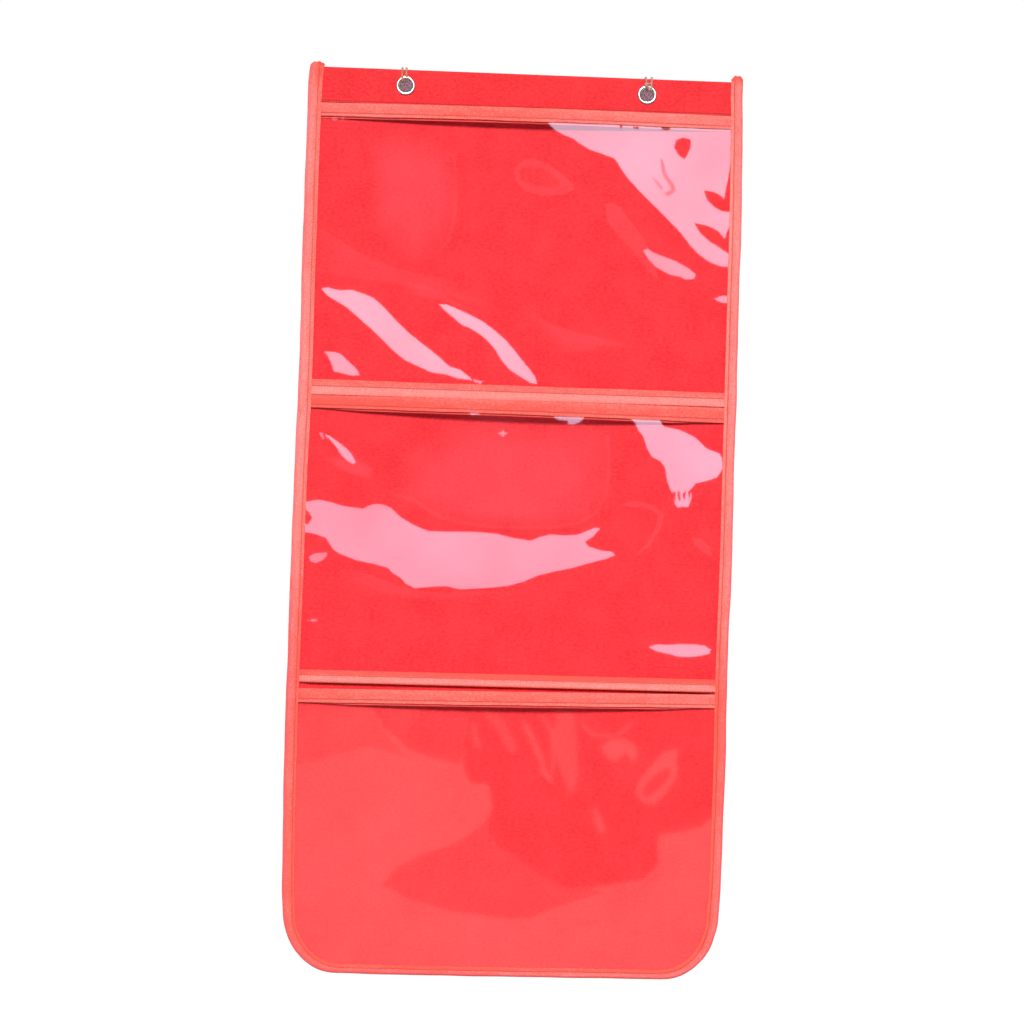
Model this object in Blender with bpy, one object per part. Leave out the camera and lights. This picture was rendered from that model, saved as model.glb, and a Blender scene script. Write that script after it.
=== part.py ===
# Hanging artwork pouch: a red cloth panel, three clear pockets, sewn tapes, a bound edge and two eyelets.
# Metres, +Z up, the pockets face -Y.
# The origin lies halfway between the two eyelet centres, on the panel's back face.

import math

import bmesh
import bpy
from mathutils import Vector

# Whole pouch
POUCH_WIDTH = 0.353
POUCH_HEIGHT = 0.725
CORNER_RADIUS_LEFT = 0.048
CORNER_RADIUS_RIGHT = 0.051
CORNER_STEPS = 9

# Clear space between two sewn layers
LAYER_GAP = 0.00025

# Cloth panel and its top hem
PANEL_THICKNESS = 0.0010
HEM_DEPTH = 0.0260
HEM_FOLD_STEPS = 6

# How far the binding's seams press the cloth's rim forward, and over what width the rim bends
RIM_PRESS = 0.0001
RIM_RAMP = 0.0010

# Stiffening strip inside the hem
STRIP_THICKNESS = 0.0008
STRIP_HEIGHT = 0.0210
STRIP_END_CLEARANCE = 0.0040
STRIP_CORNER_RADIUS = 0.0030

# Eyelets
EYELET_SPACING = 0.195
EYELET_DROP = 0.0131
EYELET_BORE_RADIUS = 0.0054
EYELET_WALL = 0.0005
EYELET_FLANGE_RADIUS = 0.0078
EYELET_FLANGE_RISE = 0.0012
EYELET_CLEARANCE = 0.0003
EYELET_CURL_REACH = 0.0010
EYELET_CURL_RISE = 0.0008
EYELET_STEPS = 24
WASHER_THICKNESS = 0.0006
WASHER_RADIUS = 0.0078
WASHER_BEVEL = 0.00024

# Shares of the flange's width in from its rim, with shares of its rise
FLANGE_SHARES = ((0.0, 0.0), (0.04, 0.45), (0.2, 0.85), (0.45, 1.0), (0.75, 0.85), (0.925, 0.4), (1.0, 0.0))

# Shares of the curl's reach out from the bore, with shares of its rise
CURL_SHARES = ((0.0, 0.0), (0.2, 0.7), (0.5, 1.0), (0.85, 0.75), (1.0, 0.0))

# Clear sheets
SHEET_THICKNESS = 0.00035
SHEET_COLUMNS = 22
SHEET_ROWS = 12
LOWER_SHEET_ROWS = 16
LOWER_ROW_POWER = 1.5
BOW_ACROSS_POWER = 1.15

# Folded tapes along the pocket mouths and feet
TAPE_THICKNESS = 0.00045
MOUTH_TAPE_WIDTH = 0.0115
FOOT_TAPE_WIDTH = 0.0106
TAPE_STATIONS = 26
TAPE_FOLD_STEPS = 4

# Where the pockets lie, measured down from the top edge at the middle of the width
UPPER_MOUTH_DROP = 0.0264
MIDDLE_MOUTH_DROP = 0.2632
LOWER_MOUTH_DROP = 0.4974
UPPER_FOOT_SPACE = 0.0008
MIDDLE_FOOT_SPACE = 0.0041
LOWER_MOUTH_TILT_SHARE = 0.0125

# How far each mouth stands out from its sewn ends
UPPER_BOW = 0.0072
MIDDLE_BOW = 0.0095
LOWER_BOW = 0.0066

# Edge binding
BINDING_SIDE_WIDTH = 0.0098
BINDING_BOTTOM_WIDTH = 0.0078
BINDING_BACK_WIDTH = 0.0092
BINDING_FOLD_DEPTH = 0.0016
BINDING_FOLD_STEPS = 6
BINDING_INSET = 0.0016
BINDING_RAMP = 0.0022
BINDING_LEFT_TAIL = 0.0038
BINDING_RIGHT_TAIL = 0.0052
BINDING_TAIL_SLOT = 0.0003
BINDING_TAIL_STEPS = 4
BINDING_SPAN = 0.0450

# Twine ties through the eyelets and over the top edge
TWINE_DIAMETER = 0.0012
TWINE_POINTS = 66
TWINE_CROSSING_RISE = 0.0021
KNOT_WIDTH = 0.0034
KNOT_DEPTH = 0.0022
KNOT_HEIGHT = 0.0028
KNOT_CLEARANCE = 0.0003
KNOT_RINGS = 8

# One overrun for every cut
CUT_OVERRUN = 0.0020

# Sizes that follow from those above
TOP_Z = EYELET_DROP
BOTTOM_Z = TOP_Z - POUCH_HEIGHT
HALF_WIDTH = POUCH_WIDTH / 2
RIM_WIDTH = BINDING_BACK_WIDTH + LAYER_GAP
RIM_Z = BOTTOM_Z + RIM_WIDTH
HEM_THICKNESS = 2 * PANEL_THICKNESS + 2 * LAYER_GAP + STRIP_THICKNESS
HEM_FRONT_Y = -HEM_THICKNESS
SHEET_Y = -(PANEL_THICKNESS + 2 * LAYER_GAP + TAPE_THICKNESS + SHEET_THICKNESS / 2)
SHEET_FRONT_Y = SHEET_Y - SHEET_THICKNESS / 2
TAPE_FRONT_Y = SHEET_FRONT_Y - LAYER_GAP - TAPE_THICKNESS
TAPE_FOLD_DEPTH = TAPE_THICKNESS + LAYER_GAP
TAPE_END_X = HALF_WIDTH - BINDING_INSET - LAYER_GAP
SLOT_BACK_Y = LAYER_GAP
SLOT_SHEET_Y = SHEET_FRONT_Y - LAYER_GAP
SLOT_TAPE_Y = TAPE_FRONT_Y - LAYER_GAP
SLOT_HEM_Y = HEM_FRONT_Y - LAYER_GAP

FINISHES = {
    "red_cloth": ((0.86, 0.035, 0.045, 1.0), 0.75, 0.0),
    "salmon_tape": ((0.90, 0.155, 0.12, 1.0), 0.65, 0.0),
    "clear_sheet": ((0.95, 0.93, 0.94, 1.0), 0.08, 0.0),
    "white_strip": ((0.85, 0.85, 0.83, 1.0), 0.45, 0.0),
    "nickel": ((0.72, 0.72, 0.70, 1.0), 0.28, 1.0),
    "tan_twine": ((0.62, 0.43, 0.22, 1.0), 0.85, 0.0),
}


class Pocket:
    """Heights and bow of one clear pocket."""

    def __init__(self, mouth_drop, foot_z, bow_start_z, bow, tilt_share=0.0):
        self.mouth_z = TOP_Z - mouth_drop
        self.foot_z = foot_z
        self.bow_start_z = bow_start_z
        self.bow = bow
        self.tilt_share = tilt_share

    def mouth_at(self, x):
        """Height of the mouth tape's fold at a place across the width."""
        return self.mouth_z + self.tilt_share * x

    def sheet_y(self, x, z):
        """Middle surface of the clear sheet, furthest out at the middle of the mouth."""
        reach = edge_reach(x < 0, z, 0.0) - BINDING_SIDE_WIDTH
        across = math.cos(math.pi / 2 * min(abs(x) / reach, 1.0)) ** BOW_ACROSS_POWER
        rise_share = (z - self.bow_start_z) / (self.mouth_z - self.bow_start_z)
        up = math.sin(math.pi / 2 * min(max(rise_share, 0.0), 1.0))
        return SHEET_Y - self.bow * across * up


def edge_reach(left, z, inset):
    """Half width of the rounded outline on one side at a height, drawn in by an inset."""
    radius = CORNER_RADIUS_LEFT if left else CORNER_RADIUS_RIGHT
    below = BOTTOM_Z + radius - z
    if below <= 0:
        return HALF_WIDTH - inset
    inner = radius - inset
    return HALF_WIDTH - radius + math.sqrt(max(inner * inner - below * below, 0.0))


def clear_scene():
    for obj in list(bpy.data.objects):
        bpy.data.objects.remove(obj)


def finish_material(name):
    """The material of one finish, made once."""
    if name in bpy.data.materials:
        return bpy.data.materials[name]
    colour, roughness, metallic = FINISHES[name]
    mat = bpy.data.materials.new(name)
    mat.use_nodes = True
    shader = mat.node_tree.nodes["Principled BSDF"]
    shader.inputs["Base Color"].default_value = colour
    shader.inputs["Roughness"].default_value = roughness
    shader.inputs["Metallic"].default_value = metallic
    return mat


def add_object(name, data, finish):
    data.materials.append(finish_material(finish))
    obj = bpy.data.objects.new(name, data)
    bpy.context.scene.collection.objects.link(obj)
    return obj


def mesh_object(name, bm, finish):
    """Turns a bmesh into a named, smooth shaded object."""
    bm.normal_update()
    bmesh.ops.recalc_face_normals(bm, faces=bm.faces)
    mesh = bpy.data.meshes.new(name)
    bm.to_mesh(mesh)
    bm.free()
    mesh.shade_smooth()
    mesh.set_sharp_from_angle(angle=math.radians(40))
    return add_object(name, mesh, finish)


def thicken(obj, thickness):
    """Gives a sheet its thickness, half to each side."""
    solid = obj.modifiers.new("Thickness", "SOLIDIFY")
    solid.thickness = thickness
    solid.offset = 0.0
    solid.use_even_offset = True


def loft(rings):
    """A closed solid through rings of points, with a face over each end."""
    bm = bmesh.new()
    loops = []
    for ring in rings:
        verts = [bm.verts.new(point) for point in ring]
        edges = [bm.edges.new(pair) for pair in zip(verts, verts[1:] + verts[:1])]
        loops.append((verts, edges))
    for (_, near), (_, far) in zip(loops, loops[1:]):
        bmesh.ops.bridge_loops(bm, edges=near + far)
    bm.faces.new(loops[0][0])
    bm.faces.new(loops[-1][0])
    return bm


def turned(profile, centre):
    """A ring turned about the Y axis through centre, from a closed outline of radius and y."""
    bm = bmesh.new()
    verts = [bm.verts.new((centre.x + radius, y, centre.z)) for radius, y in profile]
    edges = [bm.edges.new(pair) for pair in zip(verts, verts[1:] + verts[:1])]
    bmesh.ops.spin(bm, geom=verts + edges, cent=centre, axis=(0, 1, 0), angle=2 * math.pi,
                   steps=EYELET_STEPS, use_merge=True)
    bmesh.ops.remove_doubles(bm, verts=bm.verts, dist=LAYER_GAP / 10)
    return bm


def eyelet_centres():
    return {"left": Vector((-EYELET_SPACING / 2, 0, 0)), "right": Vector((EYELET_SPACING / 2, 0, 0))}


def punch_eyelets(obj):
    """Cuts both eyelet holes, through every layer of the piece."""
    radius = EYELET_BORE_RADIUS + EYELET_WALL + EYELET_CLEARANCE
    length = HEM_THICKNESS + 2 * CUT_OVERRUN
    for side, centre in eyelet_centres().items():
        bm = bmesh.new()
        bmesh.ops.create_cone(bm, cap_ends=True, segments=EYELET_STEPS, radius1=radius, radius2=radius,
                              depth=length)
        for vert in bm.verts:
            vert.co = Vector((vert.co.x, vert.co.z - HEM_THICKNESS / 2, vert.co.y)) + centre
        cutter = mesh_object(obj.name + "_hole_" + side, bm, "nickel")
        cutter.hide_render = True
        cutter.display_type = "WIRE"
        cut = obj.modifiers.new("Hole " + side, "BOOLEAN")
        cut.operation = "DIFFERENCE"
        cut.solver = "EXACT"
        cut.object = cutter


def outline_heights():
    """Heights up the seam at the bottom and both rounded corners, then the lower edge of the hem."""
    heights = [BOTTOM_Z + BINDING_INSET, RIM_Z - RIM_RAMP, RIM_Z, TOP_Z - HEM_DEPTH]
    for radius in (CORNER_RADIUS_LEFT, CORNER_RADIUS_RIGHT):
        inner = radius - BINDING_INSET
        for step in range(1, CORNER_STEPS + 1):
            turn = math.pi / 2 * step / CORNER_STEPS
            heights.append(BOTTOM_Z + radius - inner * math.cos(turn))
    return sorted(heights)


def back_panel():
    """One cloth: the back, pressed forward where the binding is sewn over it, then folded over the strip."""
    middle_y = -PANEL_THICKNESS / 2
    fold_radius = (HEM_THICKNESS - PANEL_THICKNESS) / 2
    fold_z = TOP_Z - HEM_THICKNESS / 2
    path = [(middle_y, z) for z in outline_heights()]
    for step in range(HEM_FOLD_STEPS + 1):
        turn = math.pi * step / HEM_FOLD_STEPS
        y = middle_y - fold_radius + fold_radius * math.cos(turn)
        path.append((y, fold_z + fold_radius * math.sin(turn)))
    path.append((middle_y - 2 * fold_radius, TOP_Z - HEM_DEPTH))

    insets = (BINDING_INSET, RIM_WIDTH - RIM_RAMP, RIM_WIDTH)
    last = 2 * len(insets) - 1
    bm = bmesh.new()
    bmesh.ops.create_grid(bm, x_segments=last, y_segments=len(path) - 1, size=1)
    for vert in bm.verts:
        row = round((vert.co.y + 1) / 2 * (len(path) - 1))
        column = round((vert.co.x + 1) / 2 * last)
        y, z = path[row]
        left = vert.co.x < 0
        inset = insets[min(column, last - column)]
        if z < RIM_Z:
            reach = edge_reach(left, z, BINDING_INSET) + BINDING_INSET - inset
        else:
            reach = edge_reach(left, z, inset)
        in_rim = inset < RIM_WIDTH or z < RIM_Z
        if in_rim and y == middle_y:
            y -= RIM_PRESS
        vert.co = (-reach if left else reach, y, z)
    panel = mesh_object("back_panel", bm, "red_cloth")
    thicken(panel, PANEL_THICKNESS)
    punch_eyelets(panel)


def header_strip():
    """The flat strip inside the hem that keeps the top edge straight."""
    half_length = HALF_WIDTH - BINDING_INSET - STRIP_END_CLEARANCE
    top = TOP_Z - PANEL_THICKNESS - LAYER_GAP - STRIP_THICKNESS / 2
    bm = bmesh.new()
    bmesh.ops.create_grid(bm, x_segments=1, y_segments=1, size=1)
    for vert in bm.verts:
        z = top if vert.co.y > 0 else top - STRIP_HEIGHT
        vert.co = (half_length * vert.co.x, -PANEL_THICKNESS - LAYER_GAP - STRIP_THICKNESS / 2, z)
    bmesh.ops.bevel(bm, geom=bm.verts[:], offset=STRIP_CORNER_RADIUS, segments=4, profile=0.5,
                    affect="VERTICES")
    strip = mesh_object("header_stiffener", bm, "white_strip")
    thicken(strip, STRIP_THICKNESS)
    punch_eyelets(strip)


def eyelet(side, centre):
    """A domed flange with its barrel, curled at the back over a separate washer."""
    bore = EYELET_BORE_RADIUS
    wall = bore + EYELET_WALL
    seat = HEM_FRONT_Y - LAYER_GAP
    flange_width = EYELET_FLANGE_RADIUS - bore
    washer_back = LAYER_GAP + WASHER_THICKNESS
    curl_seat = washer_back + LAYER_GAP
    profile = []
    for in_share, rise_share in FLANGE_SHARES:
        radius = EYELET_FLANGE_RADIUS - in_share * flange_width
        profile.append((radius, seat - rise_share * EYELET_FLANGE_RISE))
    for out_share, rise_share in CURL_SHARES:
        profile.append((bore + out_share * EYELET_CURL_REACH, curl_seat + rise_share * EYELET_CURL_RISE))
    profile += [(wall, curl_seat), (wall, seat)]
    mesh_object("eyelet_" + side, turned(profile, centre), "nickel")

    inner = wall + EYELET_CLEARANCE
    washer = [
        (inner, LAYER_GAP),
        (WASHER_RADIUS, LAYER_GAP),
        (WASHER_RADIUS, washer_back - WASHER_BEVEL),
        (WASHER_RADIUS - WASHER_BEVEL, washer_back),
        (bore + EYELET_CURL_REACH + LAYER_GAP, washer_back),
        (inner + WASHER_BEVEL, washer_back),
        (inner, washer_back - WASHER_BEVEL),
    ]
    mesh_object("eyelet_washer_" + side, turned(washer, centre), "nickel")


def pocket_sheet(name, pocket, lower):
    """The clear front of a pocket, under the tapes at its mouth and foot and the binding at its sides."""
    rows = LOWER_SHEET_ROWS if lower else SHEET_ROWS
    bm = bmesh.new()
    bmesh.ops.create_grid(bm, x_segments=SHEET_COLUMNS, y_segments=rows, size=1)
    for vert in bm.verts:
        row = round((vert.co.y + 1) / 2 * rows)
        side_share = vert.co.x
        top = pocket.mouth_at(side_share * TAPE_END_X) - TAPE_FOLD_DEPTH
        if row == 0:
            z = pocket.foot_z
        else:
            rise_share = ((row - 1) / (rows - 1)) ** (LOWER_ROW_POWER if lower else 1)
            z = pocket.bow_start_z + rise_share * (top - pocket.bow_start_z)
        reach = edge_reach(side_share < 0, z, BINDING_INSET) - LAYER_GAP
        x = side_share * reach
        vert.co = (x, pocket.sheet_y(x, z), z)
    sheet = mesh_object(name, bm, "clear_sheet")
    thicken(sheet, SHEET_THICKNESS)


def tape_section(width):
    """Outline of a tape folded over a sheet's edge: distances off the sheet, and distances from the fold."""
    outer = SHEET_THICKNESS / 2 + LAYER_GAP + TAPE_THICKNESS
    inner = SHEET_THICKNESS / 2 + LAYER_GAP
    outline = [(-outer, width)]
    for step in range(TAPE_FOLD_STEPS + 1):
        turn = math.pi * step / TAPE_FOLD_STEPS
        outline.append((-outer * math.cos(turn), TAPE_FOLD_DEPTH * (1 - math.sin(turn))))
    outline += [(outer, width), (inner, width)]
    outline += [(inner, TAPE_FOLD_DEPTH), (0.0, TAPE_THICKNESS), (-inner, TAPE_FOLD_DEPTH)]
    outline.append((-inner, width))
    return outline


def folded_tape(name, pocket, at_mouth):
    """A tape folded over the mouth or the foot of a clear sheet, following its bow."""
    section = tape_section(MOUTH_TAPE_WIDTH if at_mouth else FOOT_TAPE_WIDTH)
    rings = []
    for station in range(TAPE_STATIONS + 1):
        x = TAPE_END_X * (2 * station / TAPE_STATIONS - 1)
        ring = []
        for off_sheet, from_fold in section:
            if at_mouth:
                z = pocket.mouth_at(x) - from_fold
            else:
                z = pocket.foot_z - TAPE_FOLD_DEPTH + from_fold
            ring.append((x, pocket.sheet_y(x, z) + off_sheet, z))
        rings.append(ring)
    mesh_object(name, loft(rings), "salmon_tape")


def slot_front(z, crossings):
    """How deep the binding's slot is at a height: it rises over the hem and over each tape under it."""
    depth = SLOT_SHEET_Y
    for low, high, level in crossings:
        ramp_share = min((z - low) / BINDING_RAMP, (high - z) / BINDING_RAMP, 0.0) + 1.0
        depth = min(depth, SLOT_SHEET_Y + (level - SLOT_SHEET_Y) * max(ramp_share, 0.0))
    return depth


def binding_section(width, back_width, slot_y, slot_share, draw_in_share):
    """The folded binding's outline: distances in from the outer edge, and y."""
    back = SLOT_BACK_Y + TAPE_THICKNESS
    front = slot_y - TAPE_THICKNESS
    middle = (back + front) / 2
    outer_half = (back - front) / 2 * draw_in_share
    inner_half = (SLOT_BACK_Y - slot_y) / 2 * slot_share
    inner_half += BINDING_TAIL_SLOT / 2 * (1 - slot_share)
    outer_depth = BINDING_FOLD_DEPTH
    inner_depth = (BINDING_FOLD_DEPTH - TAPE_THICKNESS) * slot_share + BINDING_TAIL_SLOT * (1 - slot_share)
    outline = [(back_width, middle + outer_half)]
    for step in range(BINDING_FOLD_STEPS + 1):
        turn = math.pi * step / BINDING_FOLD_STEPS
        outline.append((outer_depth * (1 - math.sin(turn)), middle + outer_half * math.cos(turn)))
    outline += [(width, middle - outer_half), (width, middle - inner_half)]
    for step in range(BINDING_FOLD_STEPS + 1):
        turn = math.pi * (1 - step / BINDING_FOLD_STEPS)
        outline.append((outer_depth - inner_depth * math.sin(turn), middle + inner_half * math.cos(turn)))
    outline.append((back_width, middle + inner_half))
    return outline


def side_stations(left, crossings):
    """Stations down one straight side: place, way to the cloth, widths, slot, filling and rounding."""
    side = -1 if left else 1
    radius = CORNER_RADIUS_LEFT if left else CORNER_RADIUS_RIGHT
    tail = BINDING_LEFT_TAIL if left else BINDING_RIGHT_TAIL
    inward = Vector((-side, 0, 0))
    stations = []
    for step in range(BINDING_TAIL_STEPS):
        turn = math.pi / 2 * step / BINDING_TAIL_STEPS
        narrowing = BINDING_FOLD_DEPTH * (1 - math.sin(turn)) / 2
        rounding = BINDING_FOLD_DEPTH * (1 - math.cos(turn))
        z = TOP_Z + tail - rounding - (tail - BINDING_FOLD_DEPTH) * step / BINDING_TAIL_STEPS
        place = Vector((side * (HALF_WIDTH - narrowing), 0, z))
        draw_in_share = 1 - (1 - math.sin(turn)) / 2
        width = BINDING_SIDE_WIDTH - 2 * narrowing
        back_width = BINDING_BACK_WIDTH - 2 * narrowing
        stations.append((place, inward, width, back_width, SLOT_HEM_Y, 0.0, draw_in_share))
    heights = {TOP_Z + LAYER_GAP, BOTTOM_Z + radius}
    for low, high, _ in crossings:
        heights |= {low - BINDING_RAMP, low, high, high + BINDING_RAMP}
    heights = sorted((z for z in heights if BOTTOM_Z + radius <= z <= TOP_Z + LAYER_GAP), reverse=True)
    filled = list(heights)
    for high, low in zip(heights, heights[1:]):
        pieces = math.ceil((high - low) / BINDING_SPAN)
        filled += [high + (low - high) * piece / pieces for piece in range(1, pieces)]
    for z in sorted(filled, reverse=True):
        place = Vector((side * HALF_WIDTH, 0, z))
        slot_y = slot_front(z, crossings)
        stations.append((place, inward, BINDING_SIDE_WIDTH, BINDING_BACK_WIDTH, slot_y, 1.0, 1.0))
    return stations


def corner_stations(left):
    """Stations round one bottom corner, from the side to the bottom, where the front lap is narrower."""
    side = -1 if left else 1
    radius = CORNER_RADIUS_LEFT if left else CORNER_RADIUS_RIGHT
    centre = Vector((side * (HALF_WIDTH - radius), 0, BOTTOM_Z + radius))
    stations = []
    for step in range(1, CORNER_STEPS + 1):
        turn_share = step / CORNER_STEPS
        turn = math.pi / 2 * turn_share
        outward = Vector((side * math.cos(turn), 0, -math.sin(turn)))
        width = BINDING_SIDE_WIDTH + (BINDING_BOTTOM_WIDTH - BINDING_SIDE_WIDTH) * turn_share
        place = centre + radius * outward
        stations.append((place, -outward, width, BINDING_BACK_WIDTH, SLOT_SHEET_Y, 1.0, 1.0))
    return stations


def edge_binding(crossings):
    """One tape folded round the sides and the bottom, its two tails standing above the top edge."""
    left = side_stations(True, crossings) + corner_stations(True)
    right = side_stations(False, crossings) + corner_stations(False)
    middle = []
    first, last = left[-1], right[-1]
    pieces = math.ceil((last[0] - first[0]).length / BINDING_SPAN)
    for piece in range(1, pieces):
        middle.append((first[0].lerp(last[0], piece / pieces),) + first[1:])
    rings = []
    for place, inward, width, back_width, slot_y, slot_share, draw_in_share in left + middle + right[::-1]:
        section = binding_section(width, back_width, slot_y, slot_share, draw_in_share)
        rings.append([place + inward * depth + Vector((0, y, 0)) for depth, y in section])
    mesh_object("edge_binding", loft(rings), "salmon_tape")


# The twine's way round the header in one turn: y, and distance up from the eyelet's centre.
# It starts inside the eyelet, goes up the front, over the top edge and down the back.
TWINE_FRONT_ROUTE = [
    (-0.0016, 0.00445),
    (-0.0036, 0.00440),
    (-0.0051, 0.00490),
    (-0.0058, 0.00600),
    (-0.0058, 0.00720),
    (-0.0054, 0.00850),
    (-0.0046, 0.01000),
    (-0.0043, 0.01160),
    (-0.0039, 0.01300),
    (-0.0029, 0.01395),
    (-0.0016, 0.01425),
]
TWINE_BACK_ROUTE = [
    (-0.0003, 0.01395),
    (0.0006, 0.01310),
    (0.0010, 0.01180),
    (0.0013, 0.01040),
    (0.0018, 0.00900),
    (0.0025, 0.00760),
    (0.0028, 0.00620),
    (0.0022, 0.00500),
    (0.0006, 0.00445),
]

# How far each point above is along the strand's slant, and how much of the crossing's rise it takes
TWINE_UP_SHARES = (0.0, 0.0, 0.0, 0.1, 0.2, 0.4, 0.6, 0.8, 0.9, 1.0, 1.0)
TWINE_DOWN_SHARES = (0.0, 0.0, 0.2, 0.5, 0.8, 1.0, 1.0, 1.0, 1.0)
TWINE_CROSSING_SHARES = (0.0, 0.2, 0.7, 1.0, 0.7, 0.2, 0.0, 0.0, 0.0)

# The strands' x at the eyelet and at the top edge, and the knot's middle, from each eyelet's centre
LEFT_TIE_LOWS = (-0.0028, 0.0006)
LEFT_TIE_HIGHS = (-0.0030, 0.0003)
LEFT_KNOT_PLACE = (-0.0012, 0.0042, 0.0102)
RIGHT_TIE_LOWS = (-0.0002, 0.0030)
RIGHT_TIE_HIGHS = (-0.0014, 0.0034)
RIGHT_KNOT_PLACE = (-0.0004, -0.0064, 0.0076)


def strand_height(x, reach):
    """Height of a point of a strand, which keeps its distance from the eyelet's centre near the eyelet."""
    round_z = math.sqrt(reach * reach - x * x)
    ease_share = (reach - EYELET_FLANGE_RADIUS) / (TOP_Z - EYELET_FLANGE_RADIUS)
    return round_z + (reach - round_z) * min(max(ease_share, 0.0), 1.0)


def twine_route(lows, highs):
    """Points of both turns of a tie. lows and highs are the strands' x at the eyelet and at the top edge."""
    points = []
    for turn in (0, 1):
        for (y, reach), up_share in zip(TWINE_FRONT_ROUTE, TWINE_UP_SHARES):
            x = lows[turn] + (highs[turn] - lows[turn]) * up_share
            points.append(Vector((x, y, strand_height(x, reach))))
        shares = zip(TWINE_DOWN_SHARES, TWINE_CROSSING_SHARES)
        for (y, reach), (down_share, over_share) in zip(TWINE_BACK_ROUTE, shares):
            x = highs[turn] + (lows[1 - turn] - highs[turn]) * down_share
            y += turn * over_share * TWINE_CROSSING_RISE
            points.append(Vector((x, y, strand_height(x, reach))))
    return points


def smooth_ring(points, count):
    """Points spaced evenly in number along a smooth closed curve through the given ones."""
    total = len(points)
    result = []
    for index in range(count):
        place = index * total / count
        start = int(place)
        part = place - start
        p0, p1, p2, p3 = (points[(start + step) % total] for step in (-1, 0, 1, 2))
        a = 2 * p1
        b = (p2 - p0) * part
        c = (2 * p0 - 5 * p1 + 4 * p2 - p3) * part ** 2
        d = (3 * p1 - p0 - 3 * p2 + p3) * part ** 3
        result.append((a + b + c + d) / 2)
    return result


def hang_tie(side, centre, lows, highs, knot_place):
    """Twine tied twice round the header through one eyelet, and the knot that closes it."""
    knot_at = Vector(knot_place)
    ring = smooth_ring(twine_route(lows, highs), TWINE_POINTS)
    clear = KNOT_HEIGHT / 2 + KNOT_CLEARANCE
    kept = [(point - knot_at).length > clear for point in ring]
    first = next(index for index in range(len(ring)) if kept[index] and not kept[index - 1])
    ring = ring[first:] + ring[:first]
    kept = kept[first:] + kept[:first]
    points = [centre + point for point, keep in zip(ring, kept) if keep]
    curve = bpy.data.curves.new("hang_tie_" + side, "CURVE")
    curve.dimensions = "3D"
    curve.bevel_depth = TWINE_DIAMETER / 2
    curve.bevel_resolution = 2
    curve.use_fill_caps = True
    spline = curve.splines.new("POLY")
    spline.points.add(len(points) - 1)
    for spline_point, point in zip(spline.points, points):
        spline_point.co = (*point, 1)
    add_object("hang_tie_" + side, curve, "tan_twine")

    bm = bmesh.new()
    bmesh.ops.create_uvsphere(bm, u_segments=2 * KNOT_RINGS, v_segments=KNOT_RINGS, radius=KNOT_WIDTH / 2)
    bmesh.ops.scale(bm, verts=bm.verts, vec=(1, KNOT_DEPTH / KNOT_WIDTH, KNOT_HEIGHT / KNOT_WIDTH))
    bmesh.ops.translate(bm, verts=bm.verts, vec=centre + knot_at)
    mesh_object("hang_tie_knot_" + side, bm, "tan_twine")


def build():
    clear_scene()
    middle_mouth_z = TOP_Z - MIDDLE_MOUTH_DROP
    lower_mouth_z = TOP_Z - LOWER_MOUTH_DROP
    upper_foot_z = middle_mouth_z + UPPER_FOOT_SPACE + TAPE_FOLD_DEPTH
    middle_foot_z = lower_mouth_z + MIDDLE_FOOT_SPACE + TAPE_FOLD_DEPTH
    lower_foot_z = BOTTOM_Z + BINDING_INSET
    upper = Pocket(UPPER_MOUTH_DROP, upper_foot_z, upper_foot_z + FOOT_TAPE_WIDTH, UPPER_BOW)
    middle = Pocket(MIDDLE_MOUTH_DROP, middle_foot_z, middle_foot_z + FOOT_TAPE_WIDTH, MIDDLE_BOW)
    lower_bow_start_z = BOTTOM_Z + BINDING_BOTTOM_WIDTH
    lower = Pocket(LOWER_MOUTH_DROP, lower_foot_z, lower_bow_start_z, LOWER_BOW, LOWER_MOUTH_TILT_SHARE)

    back_panel()
    header_strip()
    for side, centre in eyelet_centres().items():
        eyelet(side, centre)
    pocket_sheet("pocket_front_upper", upper, False)
    pocket_sheet("pocket_front_middle", middle, False)
    pocket_sheet("pocket_front_lower", lower, True)
    folded_tape("mouth_tape_upper", upper, True)
    folded_tape("mouth_tape_middle", middle, True)
    folded_tape("mouth_tape_lower", lower, True)
    folded_tape("foot_tape_upper", upper, False)
    folded_tape("foot_tape_middle", middle, False)

    crossings = [(TOP_Z - HEM_DEPTH, TOP_Z + LAYER_GAP, SLOT_HEM_Y)]
    for pocket in (upper, middle, lower):
        reach = abs(pocket.tilt_share) * HALF_WIDTH
        crossings.append((pocket.mouth_z - MOUTH_TAPE_WIDTH - reach, pocket.mouth_z + reach, SLOT_TAPE_Y))
    for pocket in (upper, middle):
        low = pocket.foot_z - TAPE_FOLD_DEPTH
        crossings.append((low, low + FOOT_TAPE_WIDTH, SLOT_TAPE_Y))
    edge_binding(crossings)

    centres = eyelet_centres()
    hang_tie("left", centres["left"], LEFT_TIE_LOWS, LEFT_TIE_HIGHS, LEFT_KNOT_PLACE)
    hang_tie("right", centres["right"], RIGHT_TIE_LOWS, RIGHT_TIE_HIGHS, RIGHT_KNOT_PLACE)


build()
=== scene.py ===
# Looks of the hanging artwork pouch: cloth, folded tapes, clear fronts, eyelets and twine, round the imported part.
# Metres, +Z up, the pockets face -Y, and the origin is halfway between the eyelets on the back of the cloth.

import math

import bmesh
import bpy
import numpy as np
from mathutils import Matrix, Vector


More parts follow.
